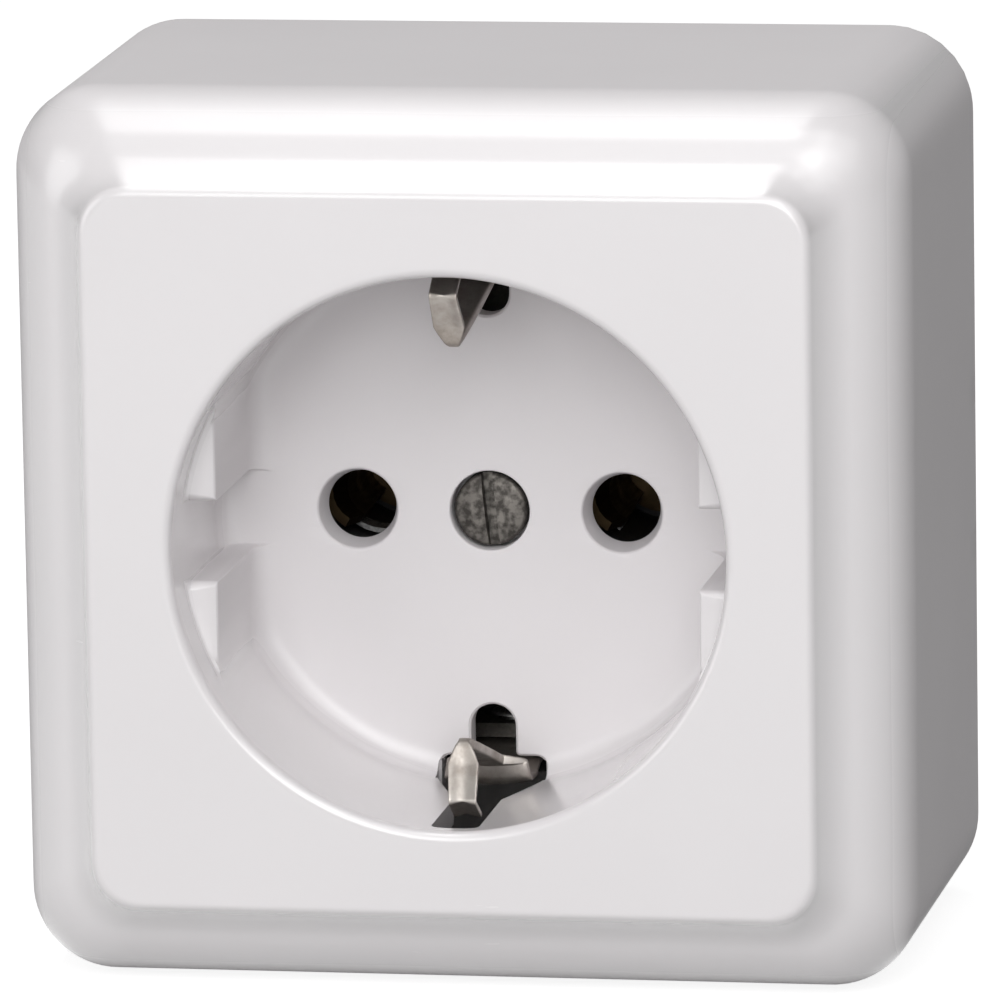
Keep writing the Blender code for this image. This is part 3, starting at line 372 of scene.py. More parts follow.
# light and deep are the two tones, grain and cloud noise scales, depth the relief's height
finishes = {
    "whiteMoulding": dict(skin="moulded", light=(0.78, 0.755, 0.765), deep=(0.765, 0.74, 0.75), grain=1400.0,
                          cloud=45.0, rough=0.22, roughSpan=0.05, satin=0.6, coat=1.0, metal=0.0, bump=0.10,
                          depth=0.02),
    "baseMoulding": dict(skin="moulded", light=(0.64, 0.625, 0.62), deep=(0.60, 0.585, 0.58), grain=2600.0,
                         cloud=70.0, rough=0.42, roughSpan=0.12, metal=0.0, bump=0.35, depth=0.03),
    "blackMoulding": dict(skin="moulded", light=(0.022, 0.021, 0.021), deep=(0.014, 0.014, 0.014),
                          grain=3000.0, cloud=90.0, rough=0.50, roughSpan=0.15, metal=0.0, bump=0.40,
                          depth=0.03),
    # the brass tones are far darker than real brass: painted shade, so the contacts read black deep inside
    # the pin holes
    "brass": dict(skin="rolled", light=(0.10, 0.068, 0.036), deep=(0.05, 0.033, 0.018), grain=5000.0,
                  cloud=260.0, rough=0.34, roughSpan=0.16, metal=1.0, bump=0.25, depth=0.02),
    "nickel": dict(skin="rolled", light=(0.45, 0.42, 0.39), deep=(0.30, 0.265, 0.235), grain=5000.0,
                   cloud=420.0, rough=0.36, roughSpan=0.14, metal=1.0, bump=0.25, depth=0.02),
    "dullNickel": dict(skin="rolled", light=(0.12, 0.113, 0.104), deep=(0.06, 0.055, 0.049), grain=4200.0,
                       cloud=260.0, rough=0.50, roughSpan=0.16, metal=1.0, bump=0.30, depth=0.02),
    "steel": dict(skin="plated", light=(0.46, 0.46, 0.45), deep=(0.30, 0.30, 0.30), grain=4200.0,
                  cloud=300.0, rough=0.34, roughSpan=0.14, metal=1.0, bump=0.35, depth=0.03),
    "dullScrew": dict(skin="plated", light=(0.17, 0.158, 0.145), deep=(0.08, 0.074, 0.068), grain=2000.0,
                      cloud=700.0, rough=0.48, roughSpan=0.16, metal=1.0, bump=0.40, depth=0.04),
}
coatFilm = {"Coat Roughness": 0.22, "Coat IOR": 1.6}
skins = {"moulded": makeMouldedSkin(), "rolled": makeRolledStrip(), "plated": makeDullPlating()}


def makeMaterial(name):
    finish = finishes[name]
    material = bpy.data.materials.new(name)
    material.use_nodes = True
    tree = material.node_tree
    shader = tree.nodes["Principled BSDF"]
    skin = addNode(tree, "ShaderNodeGroup", node_tree=skins[finish["skin"]])
    for key in ("light", "deep"):
        skin.inputs[key].default_value = (*finish[key], 1)
    for key in ("grain", "cloud", "rough", "roughSpan", "satin", "coat"):
        skin.inputs[key].default_value = finish.get(key, 0.0)
    relief = addNode(tree, "ShaderNodeBump", {"Height": skin.outputs["height"], "Strength": finish["bump"],
                                              "Distance": finish["depth"] * mm})
    tree.links.new(skin.outputs["tone"], shader.inputs["Base Color"])
    tree.links.new(skin.outputs["roughness"], shader.inputs["Roughness"])
    tree.links.new(relief.outputs[0], shader.inputs["Normal"])
    if finish["skin"] == "moulded":
        tree.links.new(skin.outputs["coat"], shader.inputs["Coat Weight"])
        for key, value in coatFilm.items():
            shader.inputs[key].default_value = value
    shader.inputs["Metallic"].default_value = finish["metal"]
    return material


materials = {name: makeMaterial(name) for name in finishes}
print("stage: materials made")


# cover

cover = {
    "half": 31.6, "backHalf": 31.9, "depth": 41.6, "back": 2.5, "backRound": 0.3,
    "shoulderRadius": 6.5, "shoulderTilt": 26, "panelHalf": 25.0, "edgeRadius": 0.7, "edgeTilt": 72,
    "panelCorner": 3.0, "boxCorner": 6.0, "leastCorner": 1.0, "wall": 2.0, "faceWall": 2.4,
    "wellRadius": 19.5, "lip": 0.7, "floor": 24.1, "floorBack": 22.1, "floorFillet": 1.6, "cupRadius": 21.3,
    "ribChord": 17.0, "ribTop": 37.6, "notchHalf": 2.85, "ribSoft": 0.5, "notchRound": 0.65,
    # rows of a rib's ledge: how far from the rib's face, and how far under its top
    "ledgeStart": 0.09, "ledgeFoot": 0.3, "ledgeFall": 0.03, "ledgeDepth": 0.8,
    "ledgeRows": [(0.5, 0.06), (0.15, 0.16), (0.04, 0.30)],
    "screwBore": 2.85, "screwSeat": 21.4, "shankBore": 2.3, "bossEnd": 19.9, "bossRadius": 3.9,
    "pinAt": 9.5, "pinBore": 2.45, "pinMouth": 2.95, "mouthDrop": 0.03, "floorRise": 0.02,
    "eyeRadius": 1.62, "eyeAt": 15.6, "eyeRound": 0.3,
    "gateHalf": 3.78, "gateAt": 17.7, "gateTop": 25.6, "gateRound": 0.7, "gateChamfer": 0.18,
    "slotHalf": 1.7, "slotFoot": 22.9, "slotShoulder": 30.8, "slotTop": 40.1,
    "slotInset": 1.5, "slotEnd": 22.98, "slotRounds": [0, 1.0, 1.2, 0.5, 0],
    "webHalf": 0.6, "webFoot": 29.6, "webInset": 0.9, "webFootEnd": 38.6, "webTopEnd": 33.0,
    "webBends": [(38.0, 33.5), (35.0, 37.5)],
    "knockoutHalf": 7.0, "knockoutTop": 9.0, "scoreWidth": 1.0, "scoreDepth": 1.3,
    "cutPast": 1.0,  # how far a cutter stands out of what it cuts
    "sharp": 24,     # degrees: edges over this stay crisp
    # how the surface is divided: columns are (from, to, count) in degrees of the first quarter, dense at the
    # notches beside each rib and at the box's corners; rows are shares of a span, radii or heights
    "columns": [(0, 8, 4), (8, 12, 24), (12, 24, 7), (24, 33, 15), (33, 38, 4), (38, 52, 18), (52, 90, 19)],
    "sideShares": (0.12, 0.37, 0.63, 0.88), "panelShares": (0.0, 0.3, 0.6, 0.85), "panelInset": 0.4,
    "wallRows": (40.2, 39.2, 38.4), "ribRows": (34.5, 31.5, 28.5, 26.4), "floorShares": (0.06, 0.3, 0.65),
    "floorRings": (11.0, 8.0, 5.5, 4.0), "backRings": (8.0, 14.0), "cupRows": (27.0, 33.0),
    "innerRows": [(0.12, 20.0), (0.03, 8.0)],
    "crispRows": (0.1, 0.15, 0.2, 0.3),  # widths of the narrow rows that keep an edge crisp
    "backSteps": 3, "shoulderSteps": 18, "coveSteps": 12, "edgeSteps": 8, "lipSteps": 10, "filletSteps": 5,
    "boreSteps": 3, "hollowSteps": 10, "hollowCoveSteps": 5, "eyeSteps": 28, "gateSteps": 5, "slotSteps": 6,
    "archSteps": 20, "pinSteps": 72,
    "leastCos": 0.05, "leastSin": 0.07,  # keep the rib's divisions finite
    "flat": 1e-6,                        # an inset over this belongs to a rib
}


def squareRadius(spin, half, corner):
    # polar radius of a rounded square: half / max(|cos|, |sin|), and a circle of the corner's radius at its
    # corners
    u, v = np.abs(np.cos(spin)), np.abs(np.sin(spin))
    straight = half / np.maximum(u, v)
    inner = half - corner
    across = inner * (u + v)
    bent = across + np.sqrt(np.maximum(across ** 2 - 2 * inner ** 2 + corner ** 2, 0))
    return np.where(straight * np.minimum(u, v) > inner, bent, straight)


def softMin(a, b, k):
    # the lesser of a and b, and below it by (k - |a - b|)^2 / 4k where they are nearer than k
    room = np.maximum(k - np.abs(a - b), 0) / k
    return np.minimum(a, b) - room ** 2 * k / 4


def softMax(a, b, k):
    # the greater of a and b, rounded in the same way
    return -softMin(-a, -b, k)


def coverColumns():
    # directions round the axis, the first quarter mirrored to the other three
    parts = [np.linspace(a, b, count, endpoint=False) for a, b, count in cover["columns"]]
    quarter = np.concatenate(parts + [[90.0]])
    half = np.concatenate([quarter, 180 - quarter[::-1][1:]])
    return np.radians(np.concatenate([half, 360 - half[::-1][1:-1]]))


def coverArcs():
    # centres of the shoulder and of the cove, and the cove's radius, in (half width, depth behind the panel)
    start, slope = math.radians(cover["shoulderTilt"]), math.radians(cover["edgeTilt"])
    shoulderX = cover["half"] - cover["shoulderRadius"]
    meetX = shoulderX + cover["shoulderRadius"] * math.sin(start)
    edgeReach = cover["edgeRadius"] * math.sin(slope)
    cove = (meetX - cover["panelHalf"] - edgeReach) / (math.sin(slope) - math.sin(start))
    meetY = cover["edgeRadius"] * (1 - math.cos(slope)) + cove * (math.cos(start) - math.cos(slope))
    shoulder = (shoulderX, meetY + cover["shoulderRadius"] * math.cos(start))
    return shoulder, (meetX + cove * math.sin(start), meetY - cove * math.cos(start)), cove


def tilted(centre, radius, first, last, steps):
    # section arc by surface tilt t: (x, depth) = centre + radius (sin t, -cos t)
    tilt = np.radians(np.linspace(first, last, steps + 1))
    return [(centre[0] + radius * s, centre[1] - radius * c) for s, c in zip(np.sin(tilt), np.cos(tilt))]


def cornerAt(half):
    # the corner's radius grows evenly with the half width, from the panel's to the box's
    share = (half - cover["panelHalf"]) / (cover["half"] - cover["panelHalf"])
    return cover["panelCorner"] + (cover["boxCorner"] - cover["panelCorner"]) * share


def ribRows(spin, hair, broad):
    # rib inset: wall radius minus the smaller of the wall and the larger of chord and notch side
    c = cover
    u = np.maximum(np.abs(np.cos(spin)), c["leastCos"])
    v = np.maximum(np.abs(np.sin(spin)), c["leastSin"])
    ribbed = softMin(c["wellRadius"] + 0 * spin, softMax(c["ribChord"] / u, c["notchHalf"] / v, c["ribSoft"]),
                     c["ribSoft"])
    inset = np.maximum(c["wellRadius"] - ribbed, 0)
    top, foot = c["ribTop"], np.minimum(inset, c["ledgeFoot"])
    ledge = [(0 * inset, top + broad), (np.minimum(inset, c["ledgeStart"]), top + hair), (foot, top),
             (np.maximum(inset * 0.5, foot), top - c["ledgeFall"])]
    ledge += [(np.maximum(inset - away, foot), top - under) for away, under in c["ledgeRows"]]
    ledge.append((inset, top - c["ledgeDepth"]))
    rows = []
    for step, height in ledge:
        # a quarter round along the notch: drop = r - sqrt(r^2 - (r - d)^2), d the distance from its side
        fromSide = (c["wellRadius"] - step) * np.abs(np.sin(spin)) - c["notchHalf"]
        reach = c["notchRound"] - np.clip(fromSide, 0, c["notchRound"])
        drop = c["notchRound"] - np.sqrt(c["notchRound"] ** 2 - reach ** 2)
        rounded = np.minimum(height, top - drop) if height <= top else height
        rows.append((c["wellRadius"] - step, np.where(inset > c["flat"], rounded, height)))
    rows += [(c["wellRadius"] - inset, height) for height in c["ribRows"]]
    return rows, inset


def coverRows(spin):
    # every row is a radius for each direction and a height, from the back edge over the front and back inside
    c = cover
    hair, fine, edge, broad = c["crispRows"]
    rows = []

    def square(half, height, corner=None):
        rows.append((squareRadius(spin, half, cornerAt(half) if corner is None else corner), height))

    def circle(radius, height):
        rows.append((radius + 0 * spin, height))

    def innerCorner(half):
        return cornerAt(half + c["wall"]) - c["wall"]

    shoulder, coveCentre, cove = coverArcs()
    low = c["back"] + c["backRound"]
    for a, b in arcPoints((c["backHalf"] - c["backRound"], low), c["backRound"], -90, 0, c["backSteps"]):
        square(a, b)
    shoulderFoot = c["depth"] - shoulder[1]
    for share in c["sideShares"]:
        square(c["backHalf"] + (c["half"] - c["backHalf"]) * share, low + (shoulderFoot - low) * share)
    front = tilted(shoulder, c["shoulderRadius"], 90, c["shoulderTilt"], c["shoulderSteps"])
    front += tilted(coveCentre, -cove, c["shoulderTilt"], c["edgeTilt"], c["coveSteps"])[1:]
    front += tilted((c["panelHalf"], c["edgeRadius"]), c["edgeRadius"], c["edgeTilt"], 0, c["edgeSteps"])[1:]
    for a, b in front:
        square(a, c["depth"] - b)
    square(c["panelHalf"] - fine, c["depth"])
    lipOuter = c["wellRadius"] + c["lip"]
    inner = squareRadius(spin, c["panelHalf"] - c["panelInset"], c["panelCorner"])
    for share in c["panelShares"]:
        rows.append((inner * (1 - share) + (lipOuter + broad) * share, c["depth"]))
    circle(lipOuter + fine, c["depth"])
    for a, b in arcPoints((lipOuter, c["depth"] - c["lip"]), c["lip"], 90, 180, c["lipSteps"]):
        circle(a, b)
    for height in c["wallRows"]:
        circle(c["wellRadius"], height)
    ribs, inset = ribRows(spin, hair, broad)
    rows += ribs
    fillet = c["floorFillet"]
    for a, b in arcPoints((fillet, c["floor"] + fillet), fillet, 180, 270, c["filletSteps"]):
        rows.append((c["wellRadius"] - inset - a, b))
    foot = c["wellRadius"] - inset - fillet
    for share in c["floorShares"]:
        rows.append((foot * (1 - share) + c["floorRings"][0] * share, c["floor"]))
    bore, shank, boss, cup = c["screwBore"], c["shankBore"], c["bossRadius"], c["cupRadius"]
    for radius in (*c["floorRings"], bore + edge):
        circle(radius, c["floor"])
    for a, b in arcPoints((bore + fine, c["floor"] - fine), fine, 90, 180, c["boreSteps"]):
        circle(a, b)
    seat, end, back, ceiling = c["screwSeat"], c["bossEnd"], c["floorBack"], c["depth"] - c["faceWall"]
    behind = [(bore, seat + hair), (bore - hair, seat), (shank + hair, seat), (shank, seat - hair),
              (shank, end + hair), (shank + hair, end), (boss - fine, end), (boss, end + fine),
              (boss, back - edge), (boss + edge, back)]
    behind += [(ring, back) for ring in c["backRings"]] + [(cup - broad, back), (cup, back + broad)]
    behind += [(cup, level) for level in c["cupRows"]] + [(cup, ceiling - broad), (cup + broad, ceiling)]
    for radius, height in behind:
        circle(radius, height)
    innerCove = cove + c["wall"]
    reach = math.degrees(math.acos(np.clip((c["faceWall"] - coveCentre[1]) / innerCove, -1, 1)))
    hollow = tilted(shoulder, c["shoulderRadius"] - c["wall"], 90, c["shoulderTilt"], c["hollowSteps"])
    if reach > c["shoulderTilt"]:
        hollow += tilted(coveCentre, -innerCove, c["shoulderTilt"], reach, c["hollowCoveSteps"])[1:]
    hollow = hollow[::-1]
    first = squareRadius(spin, hollow[0][0], max(innerCorner(hollow[0][0]), c["leastCorner"]))
    rows.append(((cup + broad) * 0.5 + first * 0.5, ceiling))
    for a, b in hollow:
        square(a, c["depth"] - b, max(innerCorner(a), c["leastCorner"]))
    innerBack = c["backHalf"] - c["wall"]
    for a, b in (*((innerBack - inward, level) for inward, level in c["innerRows"]),
                 (innerBack, c["back"] + edge), (innerBack + edge, c["back"])):
        square(a, b, innerCorner(a))
    return rows


def keyhole():
    # a round eye that opens into a wide gate at the recess wall
    c = cover
    eye = arcPoints((0, c["eyeAt"]), c["eyeRadius"], 0, -180, c["eyeSteps"])
    right = roundedPath([(c["gateHalf"], c["cupRadius"] + c["cutPast"]), (c["gateHalf"], c["gateAt"]),
                         (c["eyeRadius"], c["gateAt"]), (c["eyeRadius"], c["eyeAt"])],
                        [0, c["gateRound"], c["eyeRound"], 0], c["gateSteps"])[:-1]
    return np.concatenate([right, eye, (right * [-1, 1])[::-1]])


def pinCutter(side):
    # a bore through the floor that opens as a funnel, with a small round at its mouth
    c = cover
    hair, fine = c["crispRows"][:2]
    bore, mouth, low, high, past = c["pinBore"], c["pinMouth"], c["floorBack"], c["floor"], c["cutPast"]
    profile = [(0, low - past), (bore, low - past), (bore, low + hair), (mouth - hair, high - fine),
               (mouth, high - c["mouthDrop"]), (mouth + fine, high + c["floorRise"]),
               (mouth + fine, high + past), (0, high + past)]
    return turned("pinCutter", profile, (side * c["pinAt"], 0), c["pinSteps"])


def slotCutter(level):
    # the slot in the recess wall that a clip swings in: wide at the gate, narrow above its shoulder
    c = cover
    half = roundedPath([(c["gateHalf"], c["slotFoot"]), (c["gateHalf"], c["gateTop"]),
                        (c["slotHalf"], c["slotShoulder"]), (c["slotHalf"], c["slotTop"]), (0, c["slotTop"])],
                       c["slotRounds"], c["slotSteps"])
    outline = np.concatenate([half, (half * [-1, 1])[::-1][1:]])
    ends = sorted((level * (c["wellRadius"] - c["slotInset"]), level * c["slotEnd"]))
    return crosswise("slotCutter", outline, *ends)


def scoreCutter(level):
    # an arch-shaped groove inside the wall, round the piece that breaks out for a cable
    c = cover
    arch, past = [], c["cutPast"]
    for cut in (0, c["scoreWidth"]):
        radius = c["knockoutHalf"] - cut
        curve = arcPoints((0, c["knockoutTop"] - c["knockoutHalf"]), radius, 0, 180, c["archSteps"])
        arch.append(np.concatenate([[(radius, -past)], curve, [(-radius, -past)]]) + [0, c["back"]])
    outline = np.concatenate([arch[0], arch[1][::-1]])
    inner = c["backHalf"] - c["wall"]
    ends = sorted((level * (inner - past), level * (inner + c["scoreDepth"])))
    return crosswise("scoreCutter", outline, *ends)


def cornerWeb(quarter):
    # a thin web along the diagonal from the cup to the box's corner
    c = cover
    turn = math.radians(45 + 90 * quarter)
    start, ceiling = c["cupRadius"] - c["webInset"], c["depth"] - c["faceWall"] / 2
    outline = np.array([(start, c["webFoot"]), (c["webFootEnd"], c["webFoot"]), *c["webBends"],
                        (c["webTopEnd"], ceiling), (start, ceiling)])
    rings = []
    for push in (-c["webHalf"], c["webHalf"]):
        x = outline[:, 0] * math.cos(turn) - push * math.sin(turn)
        z = outline[:, 0] * math.sin(turn) + push * math.cos(turn)
        rings.append(inWorld(x, outline[:, 1], z))
    return gridPiece("web", np.stack(rings), caps=True)


def makeCover():
    # point = (radius cos t, height, radius sin t) for each row's radius and height in each direction t
    c = cover
    spin = coverColumns()
    rows = coverRows(spin)
    radius = np.stack([row[0] for row in rows])
    height = np.stack([row[1] + 0 * spin for row in rows])
    points = inWorld(radius * np.cos(spin), height, radius * np.sin(spin))
    piece = gridPiece("coverMoulding", points, loopRows=True)
    cuts = [pinCutter(1), pinCutter(-1)]
    chamfer = c["gateChamfer"]
    levels = [(c["floorBack"] - c["cutPast"], 0), (c["floor"] - chamfer, 0),
              (c["floor"] + c["floorRise"], chamfer), (c["gateTop"] - c["floorRise"], chamfer)]
    for level in (1, -1):
        cuts.append(upright("gateCutter", keyhole() * [1, level], levels))
        cuts += [slotCutter(level), scoreCutter(level)]
    carve(piece, cuts)
    carve(piece, [cornerWeb(quarter) for quarter in range(4)], "UNION")
    return settle(piece, materials["whiteMoulding"], ["cover"], sharp=c["sharp"],
                  weighted=True)


makeCover()
print("stage: cover made")


# screws: a slotted head on a shank with a real thread, placed by the CAD screw's own box

terminalScrew = dict(material="steel", headHeight=2.0, shankRadius=1.55, pitch=0.7, slotTurn=0)
carrierScrew = dict(material="steel", headHeight=1.9, shankRadius=1.35, pitch=1.1)
screws = {
    "nodes": {
        "cover_screw": dict(material="dullScrew", headRadius=2.62, headHeight=2.2, shankRadius=1.85,
                            pitch=0.8, slotTurn=84),
        "terminal_screw_left": terminalScrew, "terminal_screw_right": terminalScrew,
        "earth_screw": terminalScrew,
        "carrier_screw_upper": dict(carrierScrew, slotTurn=30),
        "carrier_screw_lower": dict(carrierScrew, slotTurn=-30),
    },
    "threadDepth": 0.26, "fadeAtHead": 1.2, "fadeAtPoint": 0.6, "pointShare": 0.72, "pointLength": 1.6,
    "underHead": 0.02, "rowsPerPitch": 10, "around": 48,
    # the crown of the head: its edge and the start of its dome under the top, and the round of each corner
    "crownEdge": 0.25, "domeShare": 0.55, "domeDrop": 0.01, "crownRounds": [0, 0.12, 0.35, 0.8, 0],
    "crownSteps": 5,
    "slotWidth": 0.8, "slotDepth": 0.9, "slotPast": 1.0, "slotEdge": 0.1, "slotRise": 0.5, "slotFlare": 0.12,
}


def makeScrew(node):
    # shank radius r = core + depth tri(h / pitch - turn / 2 pi), faded out under the head and at the point
    s, values = screws, screws["nodes"][node]
    low, high = boxOf(node)
    centre = ((low[0] + high[0]) / 2, (low[2] + high[2]) / 2)
    head = values.get("headRadius", (high[0] - low[0]) / 2)
    top, seat = high[1], high[1] - values["headHeight"]
    spin = allRound(s["around"])
    shank = np.arange(low[1], seat - s["underHead"], values["pitch"] / s["rowsPerPitch"])[:, None]
    phase = (shank / values["pitch"] - spin / (2 * np.pi)) % 1
    fade = np.clip((seat - shank) / s["fadeAtHead"], 0, 1)
    fade = fade * np.clip((shank - low[1]) / s["fadeAtPoint"], 0, 1)
    radius = values["shankRadius"] - s["threadDepth"] * fade * np.abs(2 * phase - 1)
    radius = radius * np.clip(s["pointShare"] + (shank - low[1]) / s["pointLength"], 0, 1)
    crown = roundedPath([(values["shankRadius"], seat), (head, seat), (head, top - s["crownEdge"]),
                         (head * s["domeShare"], top - s["domeDrop"]), (0, top)],
                        s["crownRounds"], s["crownSteps"])
    radius = np.concatenate([0 * radius[:1], radius, crown[:, :1] + 0 * spin])
    height = np.concatenate([shank[:1], shank, crown[:, 1:]]) + 0 * spin
    points = inWorld(centre[0] + radius * np.cos(spin), height, centre[1] + radius * np.sin(spin))
    piece = gridPiece(node.replace("_", "") + "Threaded", points)
    turn = math.radians(values["slotTurn"])
    reach, half = head + s["slotPast"], s["slotWidth"] / 2
    outline = np.array([(-reach, -half), (reach, -half), (reach, half), (-reach, half)])
    turning = np.array([(math.cos(turn), -math.sin(turn)), (math.sin(turn), math.cos(turn))])
    outline = outline @ turning + centre
    levels = [(top - s["slotDepth"], 0), (top - s["slotEdge"], 0), (top + s["slotRise"], s["slotFlare"])]
    carve(piece, [upright("slot", outline, levels)])
    return settle(piece, materials[values["material"]], [node])


for node in screws["nodes"]:
    makeScrew(node)
print("stage: screws made")


# earth clips: a riveted root, a neck, a folded crest and a leaf that stands into the recess

clip = {
    # corners are (distance from the middle line, height), from the root to the tip, of which the last two lie
    # past the bend of the leaf; every other list has one value for each corner
    "corners": [(18.3, 12.9), (18.3, 22.9), (18.9, 24.6), (18.85, 26.4), (17.5, 26.65), (17.3, 27.3),
                (14.1, 36.6), (15.5, 37.5), (17.9, 39.0), (19.2, 36.9)],
    "radii": [0, 0.6, 0.45, 0.4, 0.2, 0, 0.6, 0, 0.25, 0],
    "halfWidths": [3.2, 3.2, 3.2, 3.15, 2.9, 1.3, 0.4, 1.1, 0.98, 1.0],
    "folds": [0, 0, -0.3, -0.4, -0.3, 0.0, 0.0, -0.45, -0.5, -0.4],
    "shifts": [0, 0, 0, 0, 0, 0, -0.15, -0.25, -0.4, -0.4],
    "thicknesses": [0.5, 0.5, 0.5, 0.5, 0.5, 0.85, 0.7, 0.5, 0.5, 0.5],
    "pivot": 14.9, "rivetHole": 1.3, "holeSpan": (17.3, 19.3), "holeSteps": 40, "sharp": 40,
}


def makeClip(node, level):
    piece = strip(node.replace("_", ""), clip, level)
    # the rivet's hole is a round bar along Z: point = (r cos t, pivot + r sin t, z)
    spin, radius = allRound(clip["holeSteps"]), clip["rivetHole"]
    ring = [inWorld(radius * np.cos(spin), clip["pivot"] + radius * np.sin(spin), level * z)
            for z in clip["holeSpan"]]
    carve(piece, [gridPiece("rivetHole", np.stack(ring), caps=True)])
    return settle(piece, materials["nickel"], [node], node.replace("earth_", ""), clip["sharp"])


makeClip("earth_clip_top", 1)
makeClip("earth_clip_bottom", -1)
print("stage: earth clips made")


# rivets: two domed heads on a shank along Z

rivet = {"shank": 1.0, "dome": 0.7, "domeRows": 9, "around": 40}


def makeRivet(node):
    # dome: radius = head sin t, and its distance from the end = dome (1 - cos t), over a quarter turn
    low, high = boxOf(node)
    middle = (low[1] + high[1]) / 2
    head = (high[0] - low[0]) / 2
    quarter = np.linspace(0, np.pi / 2, rivet["domeRows"])
    radius, depth = head * np.sin(quarter), rivet["dome"] * (1 - np.cos(quarter))
    lowDome = np.stack([radius, low[2] + depth], -1)
    highDome = np.stack([radius, high[2] - depth], -1)[::-1]
    profile = np.concatenate([lowDome, [(rivet["shank"], low[2] + rivet["dome"])],
                              [(rivet["shank"], high[2] - rivet["dome"])], highDome])
    spin = allRound(rivet["around"])
    radius, along = profile[:, :1], profile[:, 1:]
    points = inWorld(radius * np.cos(spin), middle + radius * np.sin(spin), along + 0 * spin)
    return settle(gridPiece(node.replace("_", "") + "Domed", points), materials["steel"], [node])


makeRivet("clip_rivet_top")
makeRivet("clip_rivet_bottom")
print("stage: rivets made")


# CAD nodes whose shape is right keep their mesh and get a finished surface

# the contacts and the cover nut take the darkened brass, whose tones are painted shade
carried = {
    "base_plate": "baseMoulding", "contact_carrier": "blackMoulding", "cover_nut": "brass",
    "earth_bridge": "dullNickel", "earth_clamp": "steel", "contact_left": "brass", "contact_right": "brass",
    "jaw_spring_left": "steel", "jaw_spring_right": "steel",
    "terminal_clamp_left": "steel", "terminal_clamp_right": "steel",
}
for node, finish in carried.items():
    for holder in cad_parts[node].material_slots:
        holder.material = materials[finish]
print("stage: carried nodes finished")


# floor, world, lights and camera; lengths of the stage are in metres

stage = {"floorHalf": 1.6, "floorGap": 0.00005, "floorTone": (0.36, 0.36, 0.36), "floorRough": 0.9,
         "floorGlow": 0.86, "worldTone": 0.1, "worldSeen": 0.25, "lampAim": (0, -0.0208, 0), "sideways": 0.5}


def seenMask(tree):
    # 1 for what the camera sees straight, in gloss or through something clear, else 0
    path = addNode(tree, "ShaderNodeLightPath").outputs
    seen = maths(tree, "MAXIMUM", path["Is Camera Ray"], path["Is Glossy Ray"])
    return maths(tree, "MAXIMUM", seen, path["Is Transmission Ray"])


def makeFloor():
    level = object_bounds()[0].z - stage["floorGap"]
    half = stage["floorHalf"]
    points = np.array([[(x, y, level) for x in (-half, half)] for y in (-half, half)])
    floor = gridPiece("floor", points, loopColumns=False)
    if floor.data.polygons[0].normal.z < 0:
        floor.data.flip_normals()
    material = bpy.data.materials.new("paleFloor")
    material.use_nodes = True
    tree = material.node_tree
    shader = tree.nodes["Principled BSDF"]
    shader.inputs["Base Color"].default_value = (*stage["floorTone"], 1)
    shader.inputs["Roughness"].default_value = stage["floorRough"]
    shader.inputs["Emission Color"].default_value = (1, 1, 1, 1)
    glow = maths(tree, "MULTIPLY", seenMask(tree), stage["floorGlow"])
    tree.links.new(glow, shader.inputs["Emission Strength"])
    floor.data.materials.append(material)


def makeWorld():
    world = bpy.data.worlds.new("studio")
    bpy.context.scene.world = world
    world.use_nodes = True
    tree = world.node_tree
    sky = tree.nodes["Background"]
    sky.inputs["Color"].default_value = (1, 1, 1, 1)
    strength = sumOf(tree, stage["worldTone"], stage["worldSeen"], seenMask(tree))
    tree.links.new(strength, sky.inputs["Strength"])


def placed(name, data, right, up, back, place):
    # an object at a place in metres, with its own axes along right, up and back
    holder = bpy.data.objects.new(name, data)
    bpy.context.collection.objects.link(holder)
    matrix = np.eye(4)
    matrix[:3] = np.stack([right, up, back, place], -1)
    holder.matrix_world = Matrix(matrix.tolist())
    return holder


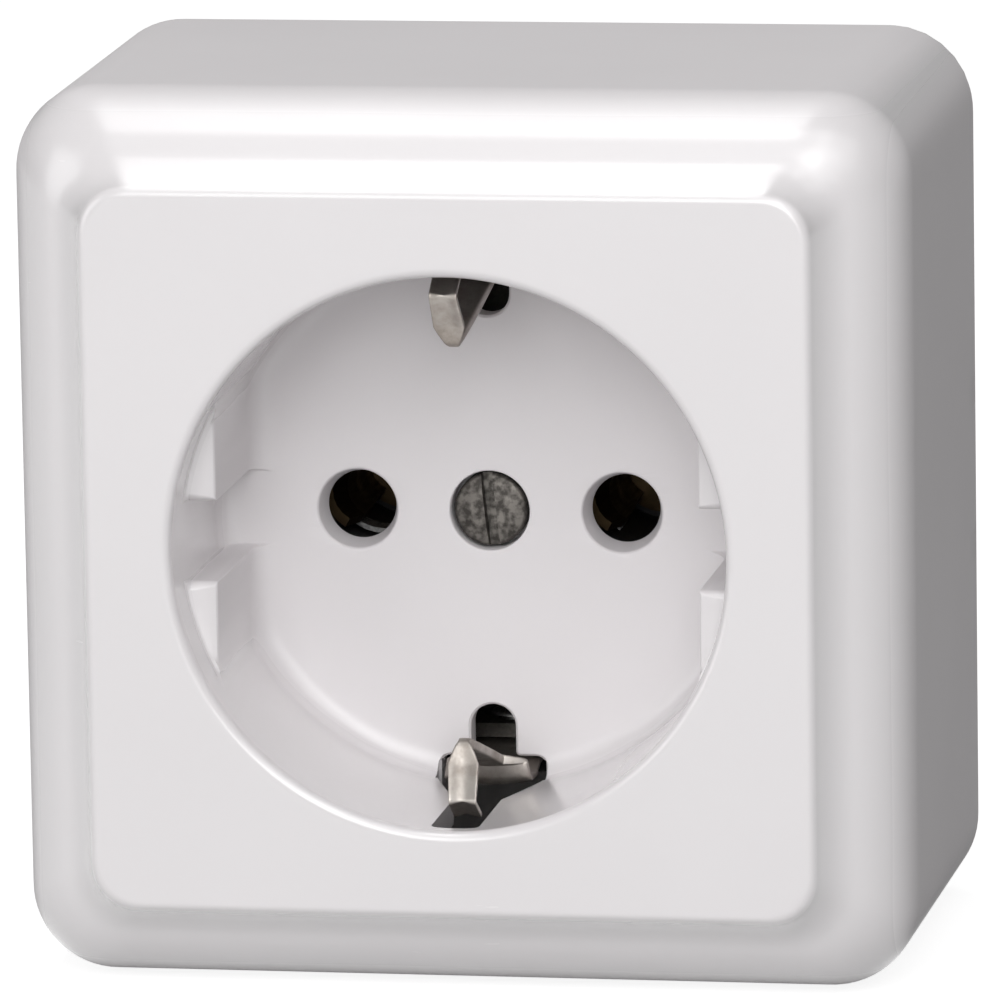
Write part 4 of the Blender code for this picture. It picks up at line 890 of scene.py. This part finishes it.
# each lamp: the direction it stands in, its distance and its size (across, along) in metres, and how bright
# its face is
lamps = {
    "keyHigh": dict(towards=(0.05, -0.57, 0.82), away=1.0, size=(0.6, 0.6), glow=1.25),
    "keyRight": dict(towards=(0.5, -0.6, 0.75), away=1.0, size=(0.6, 0.6), glow=0.9),
    "fillRight": dict(towards=(0.34, -0.94, 0.6), away=1.0, size=(0.5, 0.5), glow=1.2),
    "front": dict(towards=(0.1, -1.0, 0.1), away=1.2, size=(0.7, 0.7), glow=1.4),
    "frontHigh": dict(towards=(0.0, -1.0, 0.4), away=1.0, size=(0.6, 0.6), glow=3.0),
    "overhead": dict(towards=(-0.171, 0.12, 0.98), away=1.2, size=(0.24, 1.6), glow=3.6),
    "left": dict(towards=(-1.0, -0.8, 0.25), away=1.0, size=(0.6, 0.6), glow=1.7),
    "right": dict(towards=(1.0, -0.8, 0.3), away=1.0, size=(0.6, 0.6), glow=0.2),
}


def makeLamps():
    # along runs up and down on a lamp in front or at a side, and from front to back on one overhead
    middle = np.array(stage["lampAim"])
    for name, values in lamps.items():
        towards = np.array(values["towards"]) / np.linalg.norm(values["towards"])
        lamp = bpy.data.lights.new(name, "AREA")
        lamp.shape = "RECTANGLE"
        lamp.size, lamp.size_y = values["size"]
        lamp.energy = values["glow"] * math.pi * lamp.size * lamp.size_y
        level = (1, 0, 0) if abs(towards[0]) < stage["sideways"] else (0, -1, 0)
        along = np.cross(level, towards)
        along = along / np.linalg.norm(along)
        placed(name, lamp, np.cross(along, towards), along, towards, middle + towards * values["away"])


# focal length, sensor, distance and target in millimetres, the rest in degrees but clipStart, in metres
view = {"focal": 379.15, "sensor": 36.0, "distance": 726.8, "azimuth": 10.0746, "elevation": 10.5725,
        "roll": -0.9111, "target": (3.8668, -41.6, 4.0992), "clipStart": 0.01}


def makeCamera():
    # the camera stands off its target along back, and is rolled about its own axis
    a, e, r = (math.radians(view[key]) for key in ("azimuth", "elevation", "roll"))
    back = np.array((math.sin(a) * math.cos(e), -math.cos(a) * math.cos(e), math.sin(e)))
    right = np.cross(-back, (0, 0, 1))
    right = right / np.linalg.norm(right)
    up = np.cross(right, -back)
    side = math.cos(r) * right + math.sin(r) * up
    top = -math.sin(r) * right + math.cos(r) * up
    lens = bpy.data.cameras.new("photoCamera")
    lens.sensor_width = view["sensor"]
    lens.lens = view["focal"]
    lens.clip_start = view["clipStart"]
    place = (np.array(view["target"]) + back * view["distance"]) * mm
    bpy.context.scene.camera = placed("photoCamera", lens, side, top, back, place)


makeFloor()
makeWorld()
makeLamps()
makeCamera()
bpy.context.scene.view_settings.view_transform = "Standard"
print("stage: floor, lights and camera placed")
